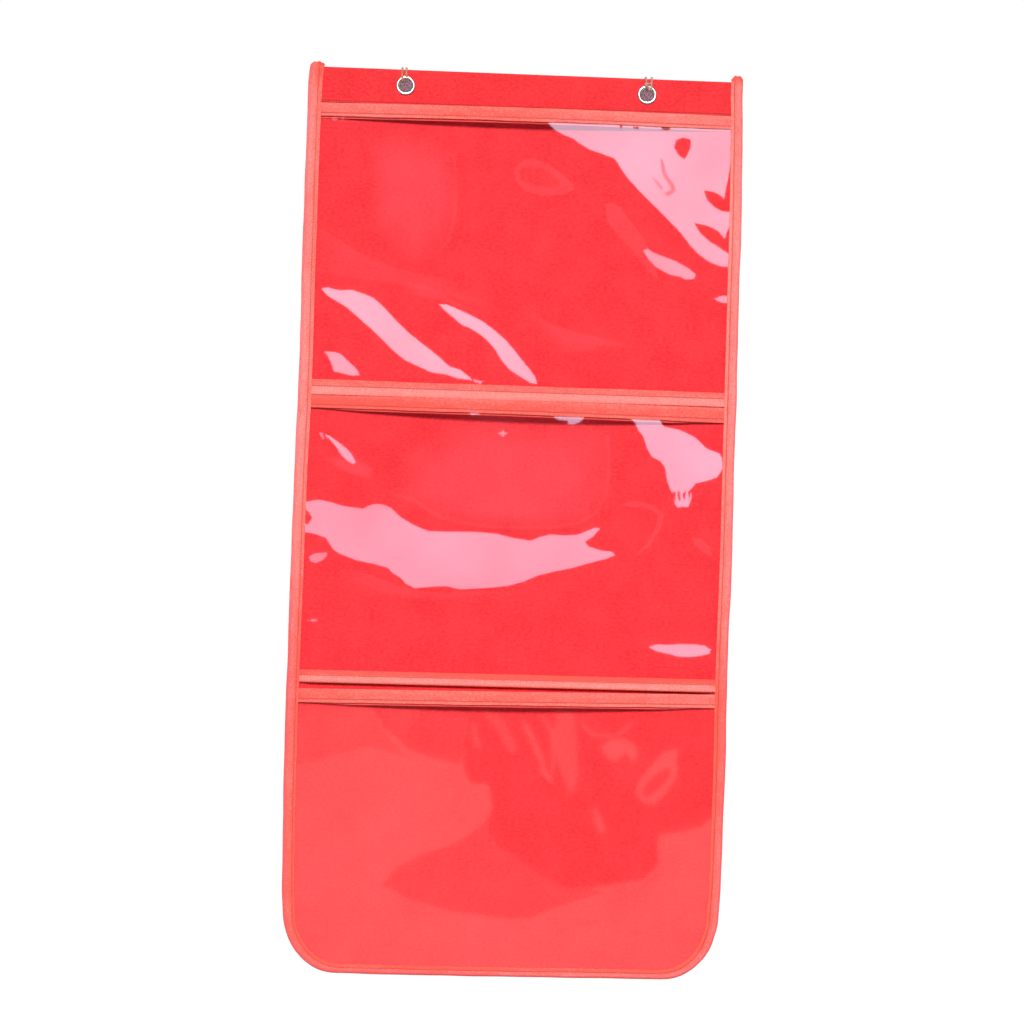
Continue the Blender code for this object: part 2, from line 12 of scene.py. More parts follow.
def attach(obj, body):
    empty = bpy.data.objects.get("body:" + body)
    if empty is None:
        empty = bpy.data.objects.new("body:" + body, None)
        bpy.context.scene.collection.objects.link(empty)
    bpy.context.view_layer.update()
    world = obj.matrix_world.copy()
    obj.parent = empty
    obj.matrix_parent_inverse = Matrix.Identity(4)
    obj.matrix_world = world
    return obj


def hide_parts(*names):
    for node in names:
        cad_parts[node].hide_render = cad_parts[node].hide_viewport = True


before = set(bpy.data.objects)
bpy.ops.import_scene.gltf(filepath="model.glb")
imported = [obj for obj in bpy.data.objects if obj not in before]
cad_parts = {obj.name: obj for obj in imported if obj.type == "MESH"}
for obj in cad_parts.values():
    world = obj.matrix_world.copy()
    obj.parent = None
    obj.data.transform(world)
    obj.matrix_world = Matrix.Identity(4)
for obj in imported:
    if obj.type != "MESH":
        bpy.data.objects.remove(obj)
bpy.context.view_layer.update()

# Sizes shared with the part
POUCH_WIDTH = 0.353
POUCH_HEIGHT = 0.725
CORNER_RADIUS_LEFT = 0.048
CORNER_RADIUS_RIGHT = 0.051
LAYER_GAP = 0.00025
PANEL_THICKNESS = 0.0010
STRIP_THICKNESS = 0.0008
EYELET_SPACING = 0.195
EYELET_DROP = 0.0131
EYELET_BORE_RADIUS = 0.0054
EYELET_WALL = 0.0005
EYELET_FLANGE_RADIUS = 0.0078
EYELET_FLANGE_RISE = 0.0012
EYELET_CLEARANCE = 0.0003
EYELET_CURL_REACH = 0.0010
EYELET_CURL_RISE = 0.0008
WASHER_THICKNESS = 0.0006
WASHER_RADIUS = 0.0078
WASHER_BEVEL = 0.00024
SHEET_THICKNESS = 0.00035
TAPE_THICKNESS = 0.00045
MOUTH_TAPE_WIDTH = 0.0115
FOOT_TAPE_WIDTH = 0.0106
UPPER_MOUTH_DROP = 0.0264
MIDDLE_MOUTH_DROP = 0.2632
LOWER_MOUTH_DROP = 0.4974
UPPER_FOOT_SPACE = 0.0008
MIDDLE_FOOT_SPACE = 0.0041
LOWER_MOUTH_TILT_SHARE = 0.0125
UPPER_BOW = 0.0072
MIDDLE_BOW = 0.0095
BOW_ACROSS_POWER = 1.15
BINDING_SIDE_WIDTH = 0.0098
BINDING_BOTTOM_WIDTH = 0.0078
BINDING_BACK_WIDTH = 0.0092
BINDING_FOLD_DEPTH = 0.0016
BINDING_INSET = 0.0016
BINDING_RAMP = 0.0022
BINDING_LEFT_TAIL = 0.0038
BINDING_RIGHT_TAIL = 0.0052
TWINE_DIAMETER = 0.0012
TWINE_CROSSING_RISE = 0.0021

# Sizes that follow the sewn copy in the photo. The part's hem is 26 mm deep and level, its lower bow is 6.6 mm, and its
# middle front's foot isn't lifted.
HEM_DEPTH = 0.0280
HEM_TILT = 0.0036
LOWER_BOW = 0.0084
MIDDLE_FOOT_LIFT = 0.0026

# Looks only
STITCH_PITCH = 0.0023
STITCH_LENGTH = 0.0019
THREAD_WIDTH = 0.00042
MOUTH_SEAM = 0.0088
FOOT_SEAM = 0.0062
SIDE_SEAM = 0.0070
LEFT_SEAM_EXTRA = 0.0008
BOTTOM_SEAM = 0.0046
HEM_SEAM_DROP = 0.0266
BACK_LEAF_EXTRA = 0.0016
THREAD_RISE = 0.00010
KNOT_SIZE = 0.00052
THREADS_PER_METRE = 2200
SEAM_MARK_WIDTH = 0.0005
TAIL_FLATTENING = 0.72

# Heights of the small forms of cloth, tape and film
BACK_WAVE = 0.00016
HEM_WAVE = 0.00018
HEM_SEAM_DENT = 0.00022
EYELET_SWELL = 0.00015
EYELET_SWELL_RADIUS = 0.0115
TAPE_PILLOW = 0.00022
TAPE_SEAM_DENT = 0.00012
TAPE_LIP_LIFT = 0.0004
TAPE_LIP_WAVE = 0.00012
TAPE_EDGE_WANDER = 0.00025
BINDING_PILLOW = 0.00018
BINDING_SEAM_DENT = 0.00016
BINDING_LIP_WAVE = 0.00010
BINDING_EDGE_WANDER = 0.00035
PUCKER_HEIGHT = 0.00005
FILM_WAVE = 0.00005

# How finely the soft pieces are divided
STATION_STEP = 0.0022
CLOTH_COLUMNS = 96
CLOTH_CORNER_ROWS = 24
CLOTH_BACK_ROWS = 130
CLOTH_HEM_ROWS = 12
TAPE_FRONT_ROWS = 30
TAPE_BACK_ROWS = 6
BINDING_FRONT_ROWS = 26
BINDING_FOLD_ROWS = 8
FILM_COLUMNS = 200
FILM_ROWS = 140
SEAM_SPANS = 170
TIE_SPANS = 330
KNOT_SPANS = 72
PLY_SIDES = 7

# Stage
FLOOR_Z = -1.25
CAMERA_PLACE = Vector((-0.1014, -2.5, -0.4104))
CAMERA_PITCH = math.radians(1.604)
CAMERA_YAW = math.radians(2.304)
CAMERA_ROLL = math.radians(1.824)
CAMERA_LENS = 109.4
WHITE = (1.0, 1.0, 1.0, 1.0)
# How much of what is in front the clear film mirrors straight on
FILM_MIRROR = 0.2
# Where the boards stand that the clear fronts mirror, how bright the brightest tone is, and each set's tint
BOARD_Y = -3.2
BOARD_STRENGTH = 3.0
BOARD_TINTS = {"upper": (0.76, 0.77, 1.0), "middle": (0.76, 0.74, 1.0), "lower": (1.0, 1.0, 0.96)}

# Sizes that follow from those above
TOP_Z = EYELET_DROP
BOTTOM_Z = TOP_Z - POUCH_HEIGHT
HALF_WIDTH = POUCH_WIDTH / 2
HEM_THICKNESS = 2 * PANEL_THICKNESS + 2 * LAYER_GAP + STRIP_THICKNESS
HEM_FRONT_Y = -HEM_THICKNESS
SHEET_Y = -(PANEL_THICKNESS + 2 * LAYER_GAP + TAPE_THICKNESS + SHEET_THICKNESS / 2)
SHEET_FRONT_Y = SHEET_Y - SHEET_THICKNESS / 2
TAPE_FRONT_Y = SHEET_FRONT_Y - LAYER_GAP - TAPE_THICKNESS
TAPE_FOLD_DEPTH = TAPE_THICKNESS + LAYER_GAP
TAPE_END_X = HALF_WIDTH - BINDING_INSET - LAYER_GAP
TAPE_OFF_SHEET = SHEET_THICKNESS / 2 + LAYER_GAP + TAPE_THICKNESS / 2
SLOT_SHEET_Y = SHEET_FRONT_Y - LAYER_GAP
SLOT_TAPE_Y = TAPE_FRONT_Y - LAYER_GAP
SLOT_HEM_Y = HEM_FRONT_Y - LAYER_GAP
FOLD_Z = TOP_Z - HEM_THICKNESS / 2
HEM_SEAM_Z = TOP_Z - HEM_SEAM_DROP
HEM_SEAM_ALONG = 2 * FOLD_Z - BOTTOM_Z - BINDING_INSET + math.pi / 2 * (HEM_THICKNESS - PANEL_THICKNESS) - HEM_SEAM_Z

# Number tools


def clamp(value, low=0.0, high=1.0):
    return min(max(value, low), high)


def smooth(share):
    """A share between 0 and 1, eased in and out."""
    return share * share * (3 - 2 * share)


def bell(distance, width):
    return math.exp(-(distance / width) ** 2)


def ripple(x, z, seed):
    """A slow, uneven wave between about -1 and 1, from two lengths in metres."""
    total = 0.0
    for index, (across, up) in enumerate(((9.1, 4.3), (-17.7, 12.9), (31.0, -23.0), (8.3, 41.0))):
        total += math.sin(2 * math.pi * (across * x + up * z) + seed * (index + 1.7)) / (1 + 0.6 * index)
    return total / 2.2


def at(table, place):
    """Value of a table of places and values at a place, straight between its entries."""
    places, values = zip(*table)
    return float(np.interp(place, places, values))


def spread(first, last, steps):
    """Evenly spaced values from first to last."""
    return [first + (last - first) * step / steps for step in range(steps + 1)]


def arc(centre, reach, start, end, steps):
    """Points round part of an ellipse, between two angles in half turns."""
    turns = [math.pi * half_turns for half_turns in spread(start, end, steps)]
    return [(centre[0] + reach[0] * math.cos(turn), centre[1] + reach[1] * math.sin(turn)) for turn in turns]


def lengths_along(line):
    """Length along a line of points at each of them."""
    lengths = [0.0]
    for first, second in zip(line, line[1:]):
        lengths.append(lengths[-1] + math.dist(first, second))
    return lengths


# The pouch's form


class Pocket:
    """Heights and bow of one clear pocket, and how far its foot stands off."""

    def __init__(self, name, mouth_drop, foot_z, bow_start_z, bow, tilt_share=0.0, foot_lift=0.0):
        self.name = name
        self.mouth_z = TOP_Z - mouth_drop
        self.foot_z = foot_z
        self.bow_start_z = bow_start_z
        self.bow = bow
        self.tilt_share = tilt_share
        self.foot_lift = foot_lift

    def mouth_at(self, x):
        return self.mouth_z + self.tilt_share * x

    def sheet_y(self, x, z):
        reach = edge_reach(x < 0, z, 0.0) - BINDING_SIDE_WIDTH
        across = math.cos(math.pi / 2 * min(abs(x) / reach, 1.0)) ** BOW_ACROSS_POWER
        up = math.sin(math.pi / 2 * clamp((z - self.bow_start_z) / (self.mouth_z - self.bow_start_z)))
        above_foot = clamp((z - self.foot_z) / FOOT_TAPE_WIDTH)
        lift = self.foot_lift * (1 - above_foot) ** 1.5 * clamp((reach - abs(x)) / 0.010)
        return SHEET_Y - self.bow * across * up - lift


def edge_reach(left, z, inset):
    """Half width of the rounded outline on one side at a height, drawn in by an inset."""
    radius = CORNER_RADIUS_LEFT if left else CORNER_RADIUS_RIGHT
    below = BOTTOM_Z + radius - z
    if below <= 0:
        return HALF_WIDTH - inset
    inner = radius - inset
    return HALF_WIDTH - radius + math.sqrt(max(inner * inner - below * below, 0.0))


def make_pockets():
    middle_mouth_z = TOP_Z - MIDDLE_MOUTH_DROP
    lower_mouth_z = TOP_Z - LOWER_MOUTH_DROP
    upper_foot_z = middle_mouth_z + UPPER_FOOT_SPACE + TAPE_FOLD_DEPTH
    middle_foot_z = lower_mouth_z + MIDDLE_FOOT_SPACE + TAPE_FOLD_DEPTH
    upper = Pocket("upper", UPPER_MOUTH_DROP, upper_foot_z, upper_foot_z + FOOT_TAPE_WIDTH, UPPER_BOW)
    middle = Pocket("middle", MIDDLE_MOUTH_DROP, middle_foot_z, middle_foot_z + FOOT_TAPE_WIDTH, MIDDLE_BOW,
                    foot_lift=MIDDLE_FOOT_LIFT)
    lower = Pocket("lower", LOWER_MOUTH_DROP, BOTTOM_Z + BINDING_INSET, BOTTOM_Z + BINDING_BOTTOM_WIDTH,
                   LOWER_BOW, LOWER_MOUTH_TILT_SHARE)
    return upper, middle, lower


POCKETS = make_pockets()

# The sewn outline isn't quite straight: distances below the top edge with the shift of each side there
LEFT_SHIFTS = (
    (-0.004, 0.0026), (0.002, 0.0017), (0.012, 0.0010), (0.026, 0.0007), (0.084, 0.0004), (0.132, 0.0006),
    (0.181, 0.0005), (0.229, 0.0010), (0.277, 0.0008), (0.325, -0.0002), (0.421, -0.0004), (0.518, -0.0007),
    (0.566, -0.0003), (0.614, 0.0003), (0.662, 0.0015), (0.677, 0.0025), (0.693, 0.0031), (0.703, 0.0028),
    (0.711, 0.0023), (0.718, 0.0013), (0.725, -0.0012),
)
RIGHT_SHIFTS = (
    (0.0, -0.0014), (0.014, -0.0014), (0.030, -0.0005), (0.071, 0.0002), (0.120, 0.0007), (0.312, 0.0009),
    (0.360, 0.0012), (0.409, 0.0010), (0.457, 0.0004), (0.505, 0.0003), (0.560, 0.0009), (0.601, 0.0005),
    (0.650, 0.0), (0.672, -0.0012), (0.690, -0.0018), (0.703, -0.0004), (0.711, 0.0006), (0.719, 0.0024),
    (0.725, 0.0050),
)


def fitted(point):
    """Moves a point of the straight pouch to where the sewn one has it. The foot hangs a little lower on the left."""
    drop = TOP_Z - point.z
    right_share = (point.x + HALF_WIDTH) / POUCH_WIDTH
    shift = at(LEFT_SHIFTS, drop) * (1 - right_share) + at(RIGHT_SHIFTS, drop) * right_share
    low = clamp((drop - 0.5) / 0.22)
    sag = low * (0.0050 * clamp(point.x, -0.16, 0.13) - 0.0002 - 0.0007 * clamp((0.06 - point.x) / 0.05))
    return Vector((point.x + shift, point.y, point.z + sag))


# Shader tools


class Value:
    """A shader socket that can be used in plain sums, each of which adds a Math node."""

    def __init__(self, nodes, socket):
        self.nodes = nodes
        self.socket = socket

    def other(self, name):
        """Another output of the same node."""
        return Value(self.nodes, self.socket.node.outputs[name])

    def sum(self, operation, first, second=0.0):
        return self.nodes.node("ShaderNodeMath", {"operation": operation}, {0: first, 1: second})

    def __add__(self, other):
        return self.sum("ADD", self, other)

    def __radd__(self, other):
        return self.sum("ADD", other, self)

    def __sub__(self, other):
        return self.sum("SUBTRACT", self, other)

    def __rsub__(self, other):
        return self.sum("SUBTRACT", other, self)

    def __mul__(self, other):
        return self.sum("MULTIPLY", self, other)

    def __rmul__(self, other):
        return self.sum("MULTIPLY", other, self)

    def __truediv__(self, other):
        return self.sum("DIVIDE", self, other)

    def __pow__(self, other):
        return self.sum("POWER", self, other)

    def wave(self):
        """Sine of this value in turns."""
        return self.sum("SINE", self * (2 * math.pi))

    def part(self):
        """What is left of this value above the whole number below it."""
        return self.sum("FRACT", self)

    def size(self):
        return self.sum("ABSOLUTE", self)

    def most(self, other):
        return self.sum("MAXIMUM", self, other)

    def least(self, other):
        return self.sum("MINIMUM", self, other)

    def between(self, low, high):
        """0 below low, 1 above high and smooth between them. high may be the lower one."""
        settings = {"interpolation_type": "SMOOTHSTEP", "clamp": True}
        return self.nodes.node("ShaderNodeMapRange", settings, {0: self, 1: low, 2: high, 3: 0.0, 4: 1.0})


class Nodes:
    """The shader nodes of a material or a world, made step by step."""

    def __init__(self, owner, output_kind):
        owner.use_nodes = True
        self.tree = owner.node_tree
        self.tree.nodes.clear()
        self.surface = self.tree.nodes.new(output_kind).inputs["Surface"]

    def node(self, kind, settings=None, sockets=None, out=0):
        """A new node's output, with the node's settings made first and then its sockets' values or links."""
        node = self.tree.nodes.new(kind)
        for key, value in (settings or {}).items():
            setattr(node, key, value)
        for key, value in (sockets or {}).items():
            if isinstance(value, Value):
                self.tree.links.new(value.socket, node.inputs[key])
            else:
                node.inputs[key].default_value = value
        return Value(self, node.outputs[out])

    def axes(self, vector):
        """The three parts of a vector."""
        x = self.node("ShaderNodeSeparateXYZ", sockets={0: vector}, out="X")
        return x, x.other("Y"), x.other("Z")

    def mix(self, share, first, second):
        """A colour between two others."""
        settings = {"data_type": "RGBA", "clamp_factor": True}
        return self.node("ShaderNodeMix", settings, {0: share, 6: first, 7: second}, out=2)

    def end(self, shader):
        self.tree.links.new(shader.socket, self.surface)


class Finish(Nodes):
    """One node material."""

    def __init__(self, name):
        self.material = bpy.data.materials.new(name)
        super().__init__(self.material, "ShaderNodeOutputMaterial")

    def place(self):
        return self.node("ShaderNodeTexCoord", out="Object")

    def weave_map(self):
        return self.node("ShaderNodeUVMap", {"uv_map": "Weave"})

    def mark(self, name):
        """A number that each vertex carries."""
        return self.node("ShaderNodeAttribute", {"attribute_name": name}, out="Fac")

    def noise(self, vector, scale, detail=2.0, roughness=0.5):
        sockets = {"Vector": vector, "Scale": scale, "Detail": detail, "Roughness": roughness}
        return self.node("ShaderNodeTexNoise", sockets=sockets, out="Fac")

    def streaks(self, vector, scale, detail=3.0, roughness=0.6):
        """Noise with its own scale along each axis."""
        stretched = self.node("ShaderNodeMapping", sockets={"Vector": vector, "Scale": scale}, out="Vector")
        return self.noise(stretched, 1.0, detail, roughness)

    def glow(self, colour, strength=1.0):
        return self.node("ShaderNodeEmission", sockets={"Color": colour, "Strength": strength})

    def bump(self, height, distance, strength=1.0):
        sockets = {"Strength": strength, "Distance": distance, "Height": height}
        return self.node("ShaderNodeBump", sockets=sockets, out="Normal")

    def solid(self, sockets):
        """Ends the material with one Principled shader."""
        self.end(self.node("ShaderNodeBsdfPrincipled", sockets=sockets))
        return self.material

    def blend(self, share, first, second):
        """Ends the material between two shaders."""
        self.end(self.node("ShaderNodeMixShader", sockets={0: share, 1: first, 2: second}))
        return self.material


def weave_height(u, v):
    """Height of a plain weave, over one and under one, from thread counts across and along."""
    over = ((u * 0.5).part() - 0.5).between(-0.02, 0.02)
    under = ((v * 0.5).part() - 0.5).between(-0.02, 0.02)
    turn = (over - under).size()
    across = (u * 0.5).wave().size()
    along = (v * 0.5).wave().size()
    return across * turn + along * (1 - turn)


def needle_hole(along):
    """1 at each needle hole of a seam, from the length along it."""
    return ((along / STITCH_PITCH).part() - 0.5).size().between(0.30, 0.12)


def red_cloth():
    """Matt plain-woven cloth, slightly mottled, with a brushed surface."""
    cloth = Finish("Red cloth")
    weave = cloth.weave_map()
    u, v, _ = cloth.axes(weave)
    place = cloth.place()
    threads = weave_height(u * THREADS_PER_METRE, v * THREADS_PER_METRE)
    slubs = cloth.streaks(weave, (400.0, 2600.0, 1.0))
    slubs_up = cloth.streaks(weave, (2600.0, 400.0, 1.0))
    mottle = cloth.noise(place, 38.0, 4.0, 0.6)
    fluff = cloth.noise(place, 900.0, 3.0, 0.65)
    heather = cloth.streaks(weave, (330.0, 520.0, 1.0))
    tone = mottle * 0.3 + heather * 0.4 + slubs * 0.15 + slubs_up * 0.15 + threads * 0.06 + fluff * 0.1
    colour = cloth.mix(tone.between(0.42, 0.74), (0.78, 0.004, 0.012, 1.0), (0.96, 0.035, 0.042, 1.0))
    on_line = (v - HEM_SEAM_ALONG).size().between(0.0007, 0.0002)
    colour = cloth.mix(on_line * (0.35 + needle_hole(u) * 0.5), colour, (0.38, 0.006, 0.010, 1.0))
    fuzz = threads * 0.6 + fluff * 0.5 + slubs * 0.4 + slubs_up * 0.4
    return cloth.solid({
        "Base Color": colour,
        "Roughness": 0.74 + mottle * 0.14,
        "Specular IOR Level": 0.5,
        "Sheen Weight": 0.05,
        "Sheen Roughness": 0.4,
        "Normal": cloth.bump(fuzz, 0.00012, 0.8),
    })


def woven_tape():
    """Twilled salmon tape with painted light and shade in its marks: paler where folds, lips and pillows face the
    light, darker on back leaves, lower folds and lifted foot lips. Rosier at its outer fold, sealed at the binding's
    tail ends, with needle holes along its seam.
    """
    tape = Finish("Salmon tape")
    weave = tape.weave_map()
    u, v, _ = tape.axes(weave)
    pale = tape.mark("pale")
    rosy = tape.mark("rosy")
    sealed_end_and_shade = tape.mark("sealed_end_and_shade")
    seam_and_shade = tape.mark("seam")
    twill = (u * 1250 + v * 1250).wave() * 0.5 + 0.5
    ribs = (u * 420 + v * 260).wave() * 0.5 + 0.5
    grain = tape.streaks(weave, (420.0, 1300.0, 1.0), roughness=0.65)
    blotch = tape.streaks(weave, (70.0, 220.0, 1.0))
    share = pale + (blotch - 0.5) * 0.7 + (grain - 0.5) * 1.7 + (twill - 0.5) * 0.12 + (ribs - 0.5) * 0.05
    plain = tape.mix(share, (0.91, 0.090, 0.064, 1.0), (0.93, 0.300, 0.270, 1.0))
    pink = tape.mix(share, (0.91, 0.095, 0.092, 1.0), (0.93, 0.290, 0.280, 1.0))
    colour = tape.mix(rosy, plain, pink)
    # The seam mark also paints a shade line along the middle foot tape's lower fold
    needle = needle_hole(u) * seam_and_shade
    speck = tape.streaks(weave, (900.0, 1300.0, 1.0), detail=2.0).between(0.55, 0.72)
    colour = tape.mix(speck * 0.40, colour, (0.66, 0.130, 0.095, 1.0))
    colour = tape.mix(needle * 0.80, colour, (0.40, 0.060, 0.040, 1.0))
    colour = tape.mix(seam_and_shade * 0.22, colour, (0.56, 0.090, 0.070, 1.0))
    # Sealed tail ends of the binding, and painted shade on the mouth tapes' back leaves
    colour = tape.mix(sealed_end_and_shade, colour, (0.84, 0.060, 0.035, 1.0))
    height = twill * 0.3 + ribs * 0.08 + grain * 0.9 - needle * 1.5
    return tape.solid({
        "Base Color": colour,
        "Roughness": 0.60 + grain * 0.2 - sealed_end_and_shade * 0.3,
        "Specular IOR Level": 0.25,
        "Sheen Weight": 0.04,
        "Sheen Roughness": 0.35,
        "Normal": tape.bump(height, 0.00014, 0.8),
    })


def sewing_thread():
    """Twisted thread, a shade darker than the tape."""
    thread = Finish("Sewing thread")
    place = thread.place()
    x, _, z = thread.axes(place)
    twist = ((x + z) * 2600 + (x - z) * 400).wave() * 0.5 + 0.5
    grain = thread.noise(place, 500.0, 2.0, 0.5)
    colour = thread.mix(twist * 0.6 + grain * 0.4, (0.46, 0.030, 0.028, 1.0), (0.76, 0.095, 0.080, 1.0))
    return thread.solid({
        "Base Color": colour,
        "Roughness": 0.5 + grain * 0.15,
        "Normal": thread.bump(twist, 0.00008, 0.6),
    })


def clear_film(name, roughness):
    """Clear flexible film: what is behind shows through. It mirrors a little as a flat sheet, and more at a slant."""
    film = Finish(name)
    slant = film.node("ShaderNodeLayerWeight", sockets={"Blend": 0.5}, out="Facing")
    haze = film.noise(film.place(), 46.0, 4.0, 0.6)
    gloss = {"distribution": "GGX"}
    mirror = film.node("ShaderNodeBsdfAnisotropic", gloss, {"Color": WHITE, "Roughness": roughness})
    through = film.node("ShaderNodeBsdfTransparent", sockets={"Color": WHITE})
    faint = film.node("ShaderNodeBsdfAnisotropic", gloss, {
        "Color": (FILM_MIRROR, FILM_MIRROR, FILM_MIRROR, 1.0),
        "Roughness": roughness,
        "Normal": film.node("ShaderNodeCombineXYZ", sockets={0: 0.0, 1: -1.0, 2: 0.0}),
    })
    plain = film.node("ShaderNodeAddShader", sockets={0: through, 1: faint})
    return film.blend(0.95 * slant ** 5.0 + (haze - 0.5) * 0.002, plain, mirror)


def plated_metal():
    """Nickel plate, brushed a little by handling, duller in its low spots."""
    metal = Finish("Nickel plate")
    place = metal.place()
    scratches = metal.streaks(place, (2600.0, 260.0, 700.0), roughness=0.7)
    wear = metal.noise(place, 420.0, 4.0, 0.6)
    colour = metal.mix(wear.between(0.35, 0.7), (0.60, 0.58, 0.55, 1.0), (0.80, 0.79, 0.77, 1.0))
    return metal.solid({
        "Base Color": colour,
        "Metallic": 1.0,
        "Roughness": 0.16 + scratches * 0.22 + wear * 0.1,
        "Normal": metal.bump(scratches + wear, 0.00002, 0.5),
    })


def twine_fibre():
    """Natural fibre with fine strands along the twist, browner on the left tie and paler on the right one."""
    fibre = Finish("Tan twine")
    strands = fibre.streaks(fibre.weave_map(), (900.0, 9000.0, 1.0), roughness=0.7)
    patches = fibre.noise(fibre.place(), 480.0, 3.0, 0.6)
    tone = (strands * 0.6 + patches * 0.5).between(0.3, 0.8)
    brown = fibre.mix(tone, (0.36, 0.12, 0.06, 1.0), (0.84, 0.40, 0.22, 1.0))
    pale = fibre.mix(tone, (0.34, 0.17, 0.13, 1.0), (0.80, 0.54, 0.44, 1.0))
    colour = fibre.mix(fibre.axes(fibre.place())[0].between(-0.01, 0.01), brown, pale)
    return fibre.solid({
        "Base Color": colour,
        "Roughness": 0.8 + patches * 0.1,
        "Sheen Weight": 0.1,
        "Normal": fibre.bump(strands, 0.0001, 0.8),
    })


def white_plastic():
    """Plain extruded strip with faint drawing lines."""
    strip = Finish("White strip")
    lines = strip.streaks(strip.place(), (12.0, 900.0, 900.0), 2.0, 0.5)
    colour = strip.mix(lines, (0.76, 0.76, 0.73, 1.0), (0.84, 0.84, 0.82, 1.0))
    return strip.solid({"Base Color": colour, "Roughness": 0.42 + lines * 0.1})


# Mesh tools


def new_object(name, bm, finish):
    """Turns a bmesh into an object with one finish, shaded smooth."""
    mesh = bpy.data.meshes.new(name)
    bm.to_mesh(mesh)
    bm.free()
    mesh.materials.append(finish)
    mesh.shade_smooth()
    obj = bpy.data.objects.new(name, mesh)
    bpy.context.scene.collection.objects.link(obj)
    return obj


def new_solid(name, bm, finish):
    """Turns a closed bmesh into an object whose faces look outward."""
    bm.normal_update()
    bmesh.ops.recalc_face_normals(bm, faces=bm.faces)
    return new_object(name, bm, finish)


def settle(obj, angle=50):
    """Applies the piece's modifiers and marks its rims sharp."""
    bpy.context.view_layer.update()
    graph = bpy.context.evaluated_depsgraph_get()
    mesh = bpy.data.meshes.new_from_object(obj.evaluated_get(graph), depsgraph=graph)
    obj.modifiers.clear()
    obj.data = mesh
    mesh.shade_smooth()
    mesh.set_sharp_from_angle(angle=math.radians(angle))
    return obj


def thicken(obj, thickness):
    solid = obj.modifiers.new("Thickness", "SOLIDIFY")
    solid.thickness = thickness
    solid.offset = 0.0
    solid.use_even_offset = True
    return settle(obj)


def strip(name, finish, columns, rows, place, marks=()):
    """A sheet of columns by rows faces. place gives a vertex's point, its weave place and its marks from its shares."""
    bm = bmesh.new()
    bmesh.ops.create_grid(bm, x_segments=columns, y_segments=rows, size=1)
    weave = bm.loops.layers.uv.new("Weave")
    layers = [bm.verts.layers.float.new(mark) for mark in marks]
    woven = {}
    for vert in bm.verts:
        column = round((vert.co.x + 1) / 2 * columns)
        row = round((vert.co.y + 1) / 2 * rows)
        point, woven[vert], values = place(column, row)
        vert.co = fitted(point)
        for layer, value in zip(layers, values):
            vert[layer] = value
    for face in bm.faces:
        for loop in face.loops:
            loop[weave].uv = woven[loop.vert]
    bm.normal_update()
    return new_object(name, bm, finish)


def towards(obj, outward):
    """Turns the faces of an open sheet so that most of them look outward."""
    bm = bmesh.new()
    bm.from_mesh(obj.data)
    bm.normal_update()
    if sum(face.normal.dot(outward) * face.calc_area() for face in bm.faces) < 0:
        bmesh.ops.reverse_faces(bm, faces=bm.faces)
    bm.to_mesh(obj.data)
    bm.free()
    return obj


# Cloth


def cloth_path():
    """Depths and heights along the cloth: up the back, over the strip and down the front of the hem."""
    middle_y = -PANEL_THICKNESS / 2
    fold_radius = (HEM_THICKNESS - PANEL_THICKNESS) / 2
    corner = CORNER_RADIUS_RIGHT - BINDING_INSET
    corner_turns = spread(0.0, math.pi / 2, CLOTH_CORNER_ROWS)
    heights = [BOTTOM_Z + BINDING_INSET + corner * (1 - math.cos(turn)) for turn in corner_turns]
    heights += spread(heights[-1], FOLD_Z, CLOTH_BACK_ROWS)[1:]
    path = [(middle_y, z) for z in heights]
    path += arc((middle_y - fold_radius, FOLD_Z), (fold_radius, fold_radius), 0, 1, CLOTH_HEM_ROWS)[1:]
    path += [(middle_y - 2 * fold_radius, z) for z in spread(FOLD_Z, TOP_Z - HEM_DEPTH, CLOTH_HEM_ROWS)[1:]]
    return path


def make_cloth(finish):
    """The back and its hem in one cloth, a little uneven, pressed in along the seam and raised round the eyelets."""
    path = cloth_path()
    lengths = lengths_along(path)

    def place(column, row):
        y, z = path[row]
        share = 2 * column / CLOTH_COLUMNS - 1
        reach = edge_reach(share < 0, z, BINDING_INSET)
        x = share * reach
        inner = clamp((reach - abs(x)) / 0.02)
        if y < -PANEL_THICKNESS:
            y -= HEM_WAVE * ripple(x, z, 2.1) * inner
            for centre in (-EYELET_SPACING / 2, EYELET_SPACING / 2):
                y -= EYELET_SWELL * bell(math.hypot(x - centre, z) - EYELET_SWELL_RADIUS, 0.0025)
            y += HEM_SEAM_DENT * bell(z - HEM_SEAM_Z, 0.0009)
            z += HEM_TILT * x * (TOP_Z - z) / HEM_DEPTH
        else:
            y += BACK_WAVE * (ripple(x, z, 0.4) - 1) * inner
        return Vector((x, y, z)), (x, lengths[row]), ()

    cloth = strip("cloth_back_and_hem", finish, CLOTH_COLUMNS, len(path) - 1, place)
    towards(cloth, Vector((0, 1, 0)))
    solid = cloth.modifiers.new("Thickness", "SOLIDIFY")
    solid.thickness = PANEL_THICKNESS
    solid.offset = 0.0
    radius = EYELET_BORE_RADIUS + EYELET_WALL + EYELET_CLEARANCE
    cutters = []
    for side in (-1, 1):
        bm = bmesh.new()
        bmesh.ops.create_cone(bm, cap_ends=True, segments=48, radius1=radius, radius2=radius, depth=0.02)
        bmesh.ops.rotate(bm, verts=bm.verts, matrix=Matrix.Rotation(math.pi / 2, 3, "X"))
        bmesh.ops.translate(bm, verts=bm.verts, vec=(side * EYELET_SPACING / 2, 0, 0))
        cutter = new_object("eyelet_hole_cutter", bm, finish)
        hole = cloth.modifiers.new("Hole", "BOOLEAN")
        hole.solver = "EXACT"
        hole.object = cutter
        cutters.append(cutter)
    settle(cloth)
    for cutter in cutters:
        bpy.data.objects.remove(cutter)
    return cloth


# Tapes


